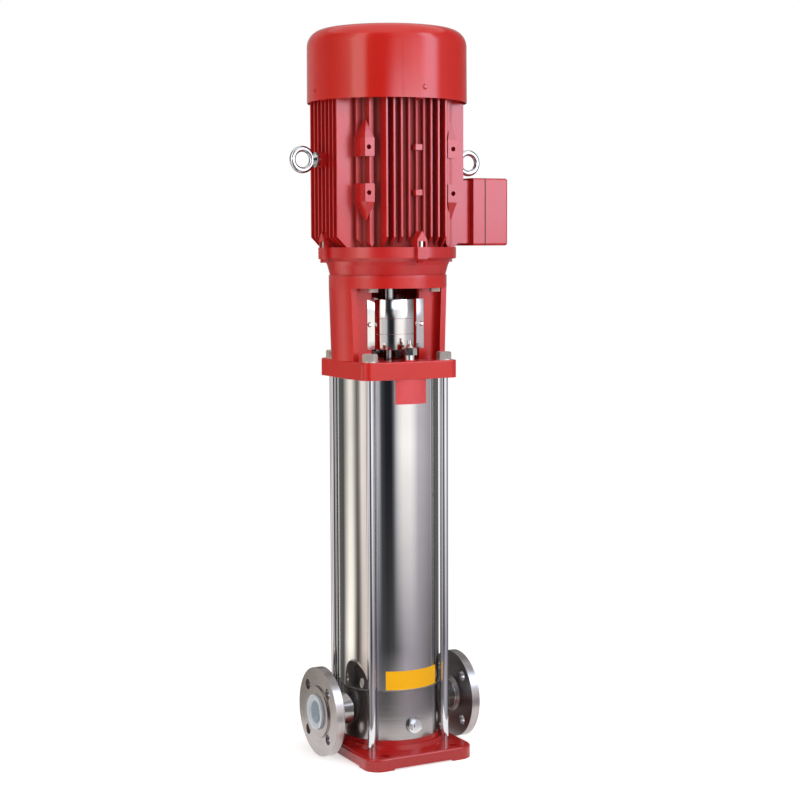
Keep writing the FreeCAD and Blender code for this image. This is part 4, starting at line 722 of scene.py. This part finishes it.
@dataclass
class Stool(SubAssembly):
    """Cast motor stool with the coupling guards and the vent plug."""

    guard_face: float = 0.0277
    guard_axis: float = 0.0135
    guard_radius: float = 0.0425
    guard_thick: float = 0.0012
    guard_edge: float = 0.0535
    guard_round: float = 0.0002
    front_low: float = 0.6929
    front_high: float = 0.7768
    rear_high: float = 0.7948
    # Down to the head plate, lower than its solid, so that the gap under the front guard stays dark.
    rear_low: float = 0.6712
    groove_heights: tuple[float, float] = (0.7190, 0.7450)
    groove_half: float = 0.0007
    groove_depth: float = 0.0007
    groove_short: float = 0.001
    vent_reach: float = 0.0770
    cone_low: float = 0.69752
    cone_high: float = 0.7033
    cone_radii: tuple[float, float] = (0.0095, 0.0046)
    cone_bore: float = 0.0034

    def guard_sheet(self, name: str, side: int, low: float, high: float) -> bpy.types.Object:
        """Model one bent sheet guard with two pressed lines across its bulge.

        Args:
            name: Name of the piece.
            side: -1 for the front, 1 for the rear.
            low: Height of its lower edge.
            high: Height of its upper edge.

        Returns:
            The guard as a closed thin shell.
        """
        middle = self.guard_radius - self.guard_thick / 2
        flat = side * (self.guard_face + self.guard_thick / 2)
        deselect_all()
        axis = (0.0, side * self.guard_axis, low)
        bpy.ops.mesh.primitive_circle_add(vertices=160, radius=middle, fill_type="NOTHING", location=axis)
        guard = named_primitive(name)
        bpy.ops.object.mode_set(mode="EDIT")
        bpy.ops.mesh.select_all(action="SELECT")
        bpy.ops.mesh.bisect(plane_co=(0.0, flat, 0.0), plane_no=(0.0, side, 0.0), clear_inner=True)
        for end in (-1, 1):
            mesh = bmesh.from_edit_mesh(guard.data)
            tip = max(mesh.verts, key=lambda v: end * v.co.x).co.copy()
            pick(guard, lambda p: (p - tip).length < SAME)
            bpy.ops.mesh.extrude_region_move(
                TRANSFORM_OT_translate={"value": (end * self.guard_edge - tip.x, 0.0, 0.0)}
            )
        bpy.ops.mesh.select_all(action="SELECT")
        bpy.ops.mesh.extrude_region_move(TRANSFORM_OT_translate={"value": (0.0, 0.0, high - low)})
        for height in self.groove_heights:
            for offset in (-self.groove_half, 0.0, self.groove_half):
                bpy.ops.mesh.select_all(action="SELECT")
                bpy.ops.mesh.bisect(plane_co=(0.0, 0.0, height + offset), plane_no=(0.0, 0.0, 1.0))
        bpy.ops.mesh.select_all(action="SELECT")
        bpy.ops.mesh.normals_make_consistent(inside=False)
        bend = math.sqrt(middle ** 2 - (abs(flat) - self.guard_axis) ** 2) - self.groove_short
        pick(guard, lambda p: abs(p.x) < bend and any(abs(p.z - h) < NEAR for h in self.groove_heights))
        centre = (0.0, side * self.guard_axis, 0.0)
        shrink = 1 - self.groove_depth / self.guard_radius
        bpy.ops.transform.resize(value=(shrink, shrink, 1.0), center_override=centre)
        bpy.ops.object.mode_set(mode="OBJECT")
        apply_modifier(guard, "SOLIDIFY", thickness=self.guard_thick, offset=0.0, use_even_offset=True)
        apply_modifier(
            guard, "BEVEL", width=self.guard_round, segments=2, limit_method="ANGLE",
            angle_limit=math.radians(60),
        )
        return guard

    def vent_cone(self) -> bpy.types.Object:
        """Model the turned cone on the vent's hexagon, bored for the vent screw.

        Returns:
            The cone as a closed ring.
        """
        foot, top = self.cone_radii
        axis = (0.0, -self.vent_reach, self.cone_low)
        deselect_all()
        bpy.ops.mesh.primitive_circle_add(vertices=64, radius=foot, fill_type="NOTHING", location=axis)
        cone = named_primitive("vent_cone")
        bpy.ops.object.mode_set(mode="EDIT")
        bpy.ops.mesh.select_all(action="SELECT")
        rise = self.cone_high - self.cone_low
        reach = foot
        for radius, lift in ((top, rise), (self.cone_bore, 0.0), (self.cone_bore, -rise), (foot, 0.0)):
            bpy.ops.mesh.extrude_region_move(TRANSFORM_OT_translate={"value": (0.0, 0.0, lift)})
            bpy.ops.transform.resize(value=(radius / reach, radius / reach, 1.0), center_override=axis)
            reach = radius
        bpy.ops.mesh.select_all(action="SELECT")
        bpy.ops.mesh.remove_doubles(threshold=NEAR)
        bpy.ops.mesh.normals_make_consistent(inside=False)
        bpy.ops.object.mode_set(mode="OBJECT")
        return cone

    def dress(self) -> None:
        """Give the stool, the coupling and the guards their finishes."""
        f = Finishes
        self.paint(f.iron_enamel, "motor_stool")
        self.paint(f.zinc_bolt, "guard_screws")
        self.paint(f.cream_bolt, "flange_bolts")
        self.paint(f.nickel_vent, "vent_plug", "vent_screw")
        self.paint(f.coupling_iron, "coupling_halves")
        self.paint(f.zinc_bolt, "coupling_screws", "coupling_pin")
        for side, name, low, high in (
            (-1, "front_guard", self.front_low, self.front_high),
            (1, "rear_guard", self.rear_low, self.rear_high),
        ):
            self.paint(f.mirror_sheet, name)
            guard = self.guard_sheet(f"{name}_sheet", side, low, high)
            finish_piece(guard, "frame", self.finishes.of(f.mirror_sheet), 40.0)
            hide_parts(name)
        finish_piece(self.vent_cone(), "frame", self.finishes.of(f.nickel_vent), 40.0)


@dataclass
class Motor(SubAssembly):
    """Finned flange motor with its cowl, eyebolts and terminal box."""

    cowl_low: float = 1.1036
    cowl_low_radius: float = 0.1342
    seam_top: float = 1.192
    # The cowl's wall draws in by half a millimetre over its straight height.
    cowl_taper: float = 0.0005 / 0.0926
    seam_angle: float = -16.1
    seam_half_angle: float = 0.22
    seam_inset: float = 0.002
    seam_rise: float = 0.00025
    seam_round: float = 0.0001

    def cowl_seam(self) -> bpy.types.Object:
        """Model the dressed weld seam that runs up the cowl.

        Returns:
            A low narrow bead on the tapered wall.
        """
        base = self.cowl_low + self.seam_inset
        top_radius = self.cowl_low_radius - self.cowl_taper * (self.seam_top - self.cowl_low)
        deselect_all()
        bpy.ops.mesh.primitive_cone_add(
            vertices=1440, radius1=self.cowl_low_radius, radius2=top_radius,
            depth=self.seam_top - base,
            end_fill_type="NOTHING", location=(0.0, 0.0, (base + self.seam_top) / 2),
        )
        seam = named_primitive("cowl_seam_bead")
        bpy.ops.object.mode_set(mode="EDIT")
        pick(seam, lambda p: abs(front_angle(p) - self.seam_angle) > self.seam_half_angle, "FACE")
        bpy.ops.mesh.delete(type="FACE")
        bpy.ops.object.mode_set(mode="OBJECT")
        apply_modifier(seam, "SOLIDIFY", thickness=self.seam_rise, offset=1.0)
        apply_modifier(seam, "BEVEL", width=self.seam_round, segments=2, limit_method="ANGLE")
        return seam

    def dress(self) -> None:
        """Give the motor's nodes their finishes and add the seam."""
        f = Finishes
        self.paint(f.sheet_enamel, "fan_cowl")
        self.paint(f.housing_enamel, "motor_housing")
        self.paint(f.shield_enamel, "drive_end_shield", "nde_shield")
        self.paint(f.shield_enamel, "terminal_box", "terminal_cover", "cowl_screws")
        self.paint(f.painted_bolt, "shield_bolts")
        self.paint(f.bright_forging, "eyebolts")
        self.paint(f.zinc_bolt, "cover_screws")
        self.paint(f.black_rubber, "terminal_gasket")
        self.paint(f.black_plastic, "terminal_block", "entry_plugs", "fan")
        self.paint(f.core_sheet, "stator_core", "rotor_core")
        self.paint(f.winding_copper, "stator_winding")
        self.paint(
            f.ground_race, "de_bearing_outer", "nde_bearing_outer", "de_bearing_inner",
            "nde_bearing_inner", "de_ball_set", "nde_ball_set",
        )
        self.paint(f.ground_shaft, "motor_shaft")
        finish_piece(self.cowl_seam(), "frame", self.finishes.of(f.sheet_enamel))


@dataclass(frozen=True)
class PhotoCamera:
    """Camera at the photograph's place and angle."""

    distance: float = 2.9085
    aside: float = -0.0201
    height: float = 0.8619
    pitch: float = 5.064
    roll: float = -0.219
    lens: float = 77.07
    sensor: float = 36.0

    def build(self) -> None:
        """Place the camera and make it the scene's own."""
        data = bpy.data.cameras.new("photo_camera")
        data.lens = self.lens
        data.sensor_width = self.sensor
        data.clip_end = 50.0
        camera = bpy.data.objects.new("photo_camera", data)
        bpy.context.scene.collection.objects.link(camera)
        turn = AXIS_FROM_CAMERA
        along = Vector((math.sin(turn), math.cos(turn), 0.0))
        right = Vector((math.cos(turn), -math.sin(turn), 0.0))
        place = -self.distance * along - self.aside * right + Vector((0.0, 0.0, self.height))
        camera.matrix_world = (
            Matrix.Translation(place)
            @ Matrix.Rotation(-turn, 4, "Z")
            @ Matrix.Rotation(math.radians(90.0 - self.pitch), 4, "X")
            @ Matrix.Rotation(math.radians(self.roll), 4, "Z")
        )
        bpy.context.scene.camera = camera


@dataclass(frozen=True)
class Lamp:
    """Soft area lamp that looks at the pump."""

    name: str
    bearing: float
    distance: float
    height: float
    width: float
    tall: float
    level: float
    tint: str = "#FFFFFF"
    aim: float = 0.65

    def build(self) -> None:
        """Place the lamp.

        Its power gives a plain surface that faces it the wanted share of its own colour.
        """
        data = bpy.data.lights.new(self.name, "AREA")
        data.shape = "RECTANGLE"
        data.size, data.size_y = self.width, self.tall
        data.color = linear(self.tint)[:3]
        place = stage_point(self.bearing, self.distance, self.height)
        target = Vector((0.0, 0.0, self.aim))
        data.energy = self.level * math.pi ** 2 * (place - target).length_squared
        lamp = bpy.data.objects.new(self.name, data)
        bpy.context.scene.collection.objects.link(lamp)
        look = (place - target).to_track_quat("Z", "Y").to_matrix().to_4x4()
        lamp.matrix_world = Matrix.Translation(place) @ look
        lamp.visible_glossy = False


def stage_point(bearing: float, distance: float, height: float) -> Vector:
    """Place in the studio.

    Args:
        bearing: Degrees to the right of the camera, as seen from it.
        distance: Metres from the pump axis.
        height: Metres above the floor.

    Returns:
        The point.
    """
    # At bearing 0 the point lies on the camera's side, and it swings towards +X as the bearing grows.
    toward = Vector((-math.sin(AXIS_FROM_CAMERA), -math.cos(AXIS_FROM_CAMERA), 0.0))
    turned = Matrix.Rotation(math.radians(bearing), 3, "Z") @ toward
    return turned * distance + Vector((0.0, 0.0, height))


def shown(owner: Any) -> Socket:
    """Tell the rays that show a surface from those that only light the pump.

    Args:
        owner: Material or world that gets the nodes.

    Returns:
        1 for camera, gloss and transmission rays, and 0 for all others.
    """
    path = add_node(owner, "ShaderNodeLightPath")
    seen = path.outputs["Is Camera Ray"]
    for ray in ("Is Glossy Ray", "Is Transmission Ray"):
        seen = calc(owner, "MAXIMUM", seen, path.outputs[ray])
    return seen


@dataclass
class Studio:
    """Pale floor, soft light and the panels that bright metal reflects."""

    shell_radius: float = 1.6
    shell_height: float = 2.6
    shell_gap: float = 0.002
    shell_ends: float = 0.1
    table_radius: float = 0.3
    floor_size: float = 60.0
    floor_fade: tuple[float, float] = (0.35, 0.9)
    floor_lift: float = 0.55
    room_level: float = 0.18
    gain: float = 6.0

    # Brightness of the panels by bearing, right of the camera positive: on the floor beside the pump, further
    # out, round the sleeve and above it.
    table_panels: Stops = (
        (-180, "#FFFFFF", 0.20), (-150, "#FFFFFF", 0.12), (-124, "#FFFDFA", 0.10), (-113, "#FFFAF0", 0.50),
        (-100, "#FFFAF0", 1.00), (-88, "#FFFAF0", 0.80), (-73, "#FFFAF0", 0.08), (-60, "#FFF0E6", 0.40),
        (-44, "#FFF0E6", 0.60), (-30, "#F4F0F4", 0.30), (-14, "#F0F0F4", 0.24), (-2, "#F4F2F4", 0.26),
        (10, "#F6F2F6", 0.42), (22, "#F6F0F8", 0.58), (37, "#F6EEF8", 0.66), (52, "#F6EEFA", 0.54),
        (68, "#F6EEFA", 0.48), (85, "#F6F0FA", 0.36), (105, "#F8F4FA", 0.20), (128, "#FAF8FA", 0.12),
        (150, "#FFFFFF", 0.12), (180, "#FFFFFF", 0.20),
    )
    foot_panels: Stops = (
        (-180, "#FFFFFF", 0.25), (-150, "#FFFFFF", 0.15), (-124, "#FFFDFA", 0.14), (-113, "#FFFAF0", 1.00),
        (-100, "#FFFAF0", 1.70), (-88, "#FFFAF0", 1.50), (-79, "#FFFAF0", 0.35), (-73, "#FFFAF0", 0.06),
        (-67, "#FFF4EC", 0.30), (-60, "#FFF0E6", 0.90), (-44, "#FFF0E6", 1.20), (-36, "#F4F0F4", 0.50),
        (-24, "#ECF0FA", 0.22), (-14, "#E8ECFA", 0.10), (-2, "#ECECF4", 0.07), (10, "#F0F0F8", 0.10),
        (22, "#F2F0FA", 0.26), (37, "#F4EEFC", 0.52), (52, "#F6EEFC", 0.56), (68, "#F6EEFC", 0.48),
        (85, "#F6F0FA", 0.36), (105, "#F8F4FA", 0.24), (128, "#FAF8FA", 0.14), (150, "#FFFFFF", 0.14),
        (180, "#FFFFFF", 0.25),
    )
    sleeve_panels: Stops = (
        (-180, "#FFFFFF", 0.25), (-150, "#FFFFFF", 0.12), (-124, "#FFFDFA", 0.12), (-111, "#FFFAF0", 0.65),
        (-98, "#FFFAF0", 1.30), (-90, "#FFFAF0", 1.20), (-82, "#FFFAF0", 0.60), (-75, "#FFFAF0", 0.18),
        (-69, "#FFF8F0", 0.40), (-62, "#FFF6F0", 1.30), (-50, "#FFF4F0", 1.10), (-42, "#FAF4F4", 0.90),
        (-28, "#F2F2FA", 0.90), (-21, "#ECF0FA", 0.75), (-15, "#E4EAFA", 0.10), (-5, "#D8DEFA", 0.03),
        (7, "#D8DEFA", 0.03), (12, "#E8E8F4", 0.20), (17, "#F0F0F8", 0.75), (23, "#FAFAFA", 1.15),
        (32, "#FDFCFA", 1.42), (50, "#FDFCFA", 1.48), (60, "#FAF8FA", 1.26), (70, "#F6F2FA", 0.84),
        (84, "#F4F0FA", 0.76), (98, "#F6F2FA", 0.62), (112, "#FAF8FA", 0.48), (128, "#FAF8FA", 0.18),
        (150, "#FFFFFF", 0.14), (180, "#FFFFFF", 0.25),
    )
    high_panels: Stops = (
        (-180, "#FFFFFF", 0.50), (-150, "#FFFFFF", 0.40), (-128, "#FFFDFA", 0.50), (-110, "#FFFDFA", 0.30),
        (-90, "#FFFAF0", 0.12), (-78, "#FFFAF0", 0.25), (-68, "#FFFAF0", 0.50), (-58, "#FFFAF0", 0.85),
        (-50, "#FFFAF0", 1.20), (-46, "#FFFAF0", 2.80), (-31, "#FFFAF4", 2.80), (-26, "#FAFAFA", 0.25),
        (-20, "#F0F2FA", 0.05), (-5, "#D8DEFA", 0.03), (2, "#E8E8F4", 0.12), (7, "#F0F0F8", 0.50),
        (13, "#FAFAFA", 1.00), (24, "#F4F6FC", 1.20), (48, "#E4EEFC", 1.90), (58, "#D8E8FF", 5.60),
        (70, "#D8E8FF", 5.80), (78, "#F4F0FA", 0.65), (91, "#F8F2F6", 0.43), (112, "#FAF4F6", 0.20),
        (128, "#FAF8FA", 0.16), (150, "#FFFFFF", 0.25), (180, "#FFFFFF", 0.50),
    )
    # Heights between which one row of panels gives way to the next.
    table_to_foot: tuple[float, float] = (-0.26, -0.18)
    foot_to_sleeve: tuple[float, float] = (-0.18, 0.35)
    sleeve_to_high: tuple[float, float] = (0.68, 0.90)
    floor_slope: float = 0.25
    # Bearings and heights at which the large soft light on the right starts, is full, starts to fade and ends.
    softbox_bearings: Span = (-6.0, 18.0, 48.0, 64.0)
    softbox_heights: Span = (0.96, 1.12, 1.24, 1.36)
    softbox_tint: str = "#DCEAFF"
    softbox_level: float = 3.8

    def ramp(self, m: Material, bearing: Socket, stops: Stops) -> Socket:
        """Add a colour ramp of panel brightness by bearing.

        Args:
            m: Material of the shell.
            bearing: Bearing from 0 to 1.
            stops: Bearing in degrees, tint and level of each stop.

        Returns:
            The colour, divided by the gain.
        """
        node = add_node(m, "ShaderNodeValToRGB", {"Fac": bearing})
        elements = node.color_ramp.elements
        while len(elements) < len(stops):
            elements.new(0.5)
        for element, (degrees, tint, level) in zip(elements, stops):
            element.position = (degrees + 180.0) / 360.0
            red, green, blue, _ = linear(tint)
            share = level / self.gain
            element.color = (red * share, green * share, blue * share, 1.0)
        return node.outputs["Color"]

    def shell_material(self) -> Material:
        """Make the light of the panels.

        Returns:
            Emission that changes with bearing and height.
        """
        m = new_material("studio_panels")
        toward = math.atan2(-math.cos(AXIS_FROM_CAMERA), -math.sin(AXIS_FROM_CAMERA))
        turn = {"Vector": object_point(m), "Rotation": (0.0, 0.0, -toward)}
        turned = add_node(m, "ShaderNodeMapping", turn)
        parts = add_node(m, "ShaderNodeSeparateXYZ", {"Vector": turned.outputs["Vector"]})
        angle = calc(m, "ARCTAN2", parts.outputs["Y"], parts.outputs["X"])
        bearing = map_range(m, angle, -math.pi, math.pi)
        across = add_node(m, "ShaderNodeCombineXYZ", {"X": parts.outputs["X"], "Y": parts.outputs["Y"]})
        radius = add_node(m, "ShaderNodeVectorMath", {0: across.outputs["Vector"]}, operation="LENGTH")
        # On the floor the panels go on as if the wall sloped down towards the pump.
        foot = -self.shell_radius * self.floor_slope
        drop = calc(m, "MULTIPLY_ADD", radius.outputs["Value"], self.floor_slope, foot)
        height = calc(m, "ADD", parts.outputs["Z"], drop)
        panels = self.ramp(m, bearing, self.table_panels)
        for stops, (low, high) in (
            (self.foot_panels, self.table_to_foot),
            (self.sleeve_panels, self.foot_to_sleeve),
            (self.high_panels, self.sleeve_to_high),
        ):
            rise = map_range(m, height, low, high)
            panels = mix_colours(m, rise, panels, self.ramp(m, bearing, stops))
        spans = []
        for source, (start, full, edge, end) in (
            (bearing, [(degrees + 180) / 360 for degrees in self.softbox_bearings]),
            (height, self.softbox_heights),
        ):
            spans += [(source, start, full), (source, end, edge)]
        glow = None
        for source, start, end in spans:
            fade = map_range(m, source, start, end, kind="SMOOTHSTEP")
            glow = fade if glow is None else calc(m, "MULTIPLY", glow, fade)
        tint = tuple(v * self.softbox_level / self.gain for v in linear(self.softbox_tint)[:3])
        total = add_node(m, "ShaderNodeVectorMath", {0: glow, 1: tint, 2: panels}, operation="MULTIPLY_ADD")
        light = add_node(m, "ShaderNodeEmission", {"Color": total.outputs["Vector"], "Strength": self.gain})
        add_node(m, "ShaderNodeOutputMaterial", {"Surface": light.outputs["Emission"]})
        return m

    def shell(self) -> None:
        """Model the panels as a round wall and the floor inside it, which only gloss sees."""
        deselect_all()
        bpy.ops.mesh.primitive_cylinder_add(
            vertices=192, radius=self.shell_radius, depth=self.shell_height, end_fill_type="NGON",
            location=(0.0, 0.0, self.shell_height / 2 + self.shell_gap),
        )
        wall = named_primitive("studio_panels")
        bpy.ops.object.mode_set(mode="EDIT")
        pick(wall, lambda p: p.z > self.shell_height - self.shell_ends, "FACE")
        bpy.ops.mesh.delete(type="ONLY_FACE")
        pick(wall, lambda p: p.z < self.shell_ends, "FACE")
        bpy.ops.mesh.inset(thickness=self.shell_radius - self.table_radius)
        bpy.ops.mesh.delete(type="FACE")
        bpy.ops.mesh.select_all(action="SELECT")
        bpy.ops.mesh.flip_normals()
        bpy.ops.object.mode_set(mode="OBJECT")
        wall.data.materials.append(self.shell_material())
        for ray in ("camera", "diffuse", "transmission", "shadow", "volume_scatter"):
            setattr(wall, f"visible_{ray}", False)

    def floor(self) -> None:
        """Lay the pale floor, which reads as white and keeps the pump's shadow."""
        deselect_all()
        bpy.ops.mesh.primitive_plane_add(size=self.floor_size, location=(0.0, 0.0, 0.0))
        floor = named_primitive("studio_floor")
        m = new_material("matt_white_studio_floor")
        seen = shown(m)
        reach = add_node(m, "ShaderNodeVectorMath", {0: object_point(m)}, operation="LENGTH")
        away = map_range(m, reach.outputs["Value"], *self.floor_fade, kind="SMOOTHSTEP")
        white = calc(m, "MULTIPLY", away, seen)
        lift = calc(m, "MULTIPLY", seen, self.floor_lift)
        matt = add_node(m, "ShaderNodeBsdfDiffuse", {"Color": linear("#E6E6E6")})
        glow = add_node(m, "ShaderNodeEmission", {"Color": linear("#FFFFFF"), "Strength": lift})
        both = add_node(m, "ShaderNodeAddShader", {0: matt.outputs["BSDF"], 1: glow.outputs["Emission"]})
        plain = add_node(m, "ShaderNodeEmission", {"Color": linear("#FFFFFF"), "Strength": 1.0})
        layers = {0: white, 1: both.outputs["Shader"], 2: plain.outputs["Emission"]}
        ground = add_node(m, "ShaderNodeMixShader", layers)
        add_node(m, "ShaderNodeOutputMaterial", {"Surface": ground.outputs["Shader"]})
        floor.data.materials.append(m)

    def room(self) -> None:
        """Light the room evenly, white where it is seen."""
        world = bpy.data.worlds.new("studio_room")
        world.use_nodes = True
        world.node_tree.nodes.clear()
        level = map_range(world, shown(world), 0.0, 1.0, self.room_level)
        light = add_node(world, "ShaderNodeBackground", {"Color": linear("#FFFFFF"), "Strength": level})
        add_node(world, "ShaderNodeOutputWorld", {"Surface": light.outputs["Background"]})
        bpy.context.scene.world = world

    def build(self) -> None:
        """Set up the room, the lamps and the panels."""
        self.room()
        self.floor()
        self.shell()
        # Name, bearing, distance, height, width, tallness, level, tint and the height aimed at.
        lamps = (
            Lamp("key_softbox", 50, 2.2, 1.35, 1.3, 1.6, 0.56, "#FFF9FB"),
            Lamp("left_strip", -44, 2.2, 1.0, 0.7, 1.9, 0.36, "#FFFAF4"),
            Lamp("far_left_panel", -100, 2.2, 0.9, 0.9, 1.6, 0.24, "#FFFAF4"),
            Lamp("rear_right_panel", 140, 2.4, 1.0, 1.2, 1.6, 0.30, "#FFFFFF"),
            Lamp("overhead_bank", 0, 0.4, 3.2, 1.8, 1.8, 0.36, "#FFFFFF", 0.4),
        )
        for lamp in lamps:
            lamp.build()
            LOG.info("lamp %s", lamp.name)


def main() -> None:
    """Build the pump's looks and the studio round it."""
    logging.basicConfig(level=logging.INFO, format="%(name)s: %(message)s")
    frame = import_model()
    bpy.context.scene.view_settings.view_transform = "Standard"
    PhotoCamera().build()
    Studio().build()
    finishes = Finishes()
    for group in (BaseUnit, Ports, PumpBody, Stool, Motor):
        LOG.info("sub-assembly %s", group.__name__)
        group(frame["nodes"], finishes).dress()


if __name__ == "__main__":
    main()
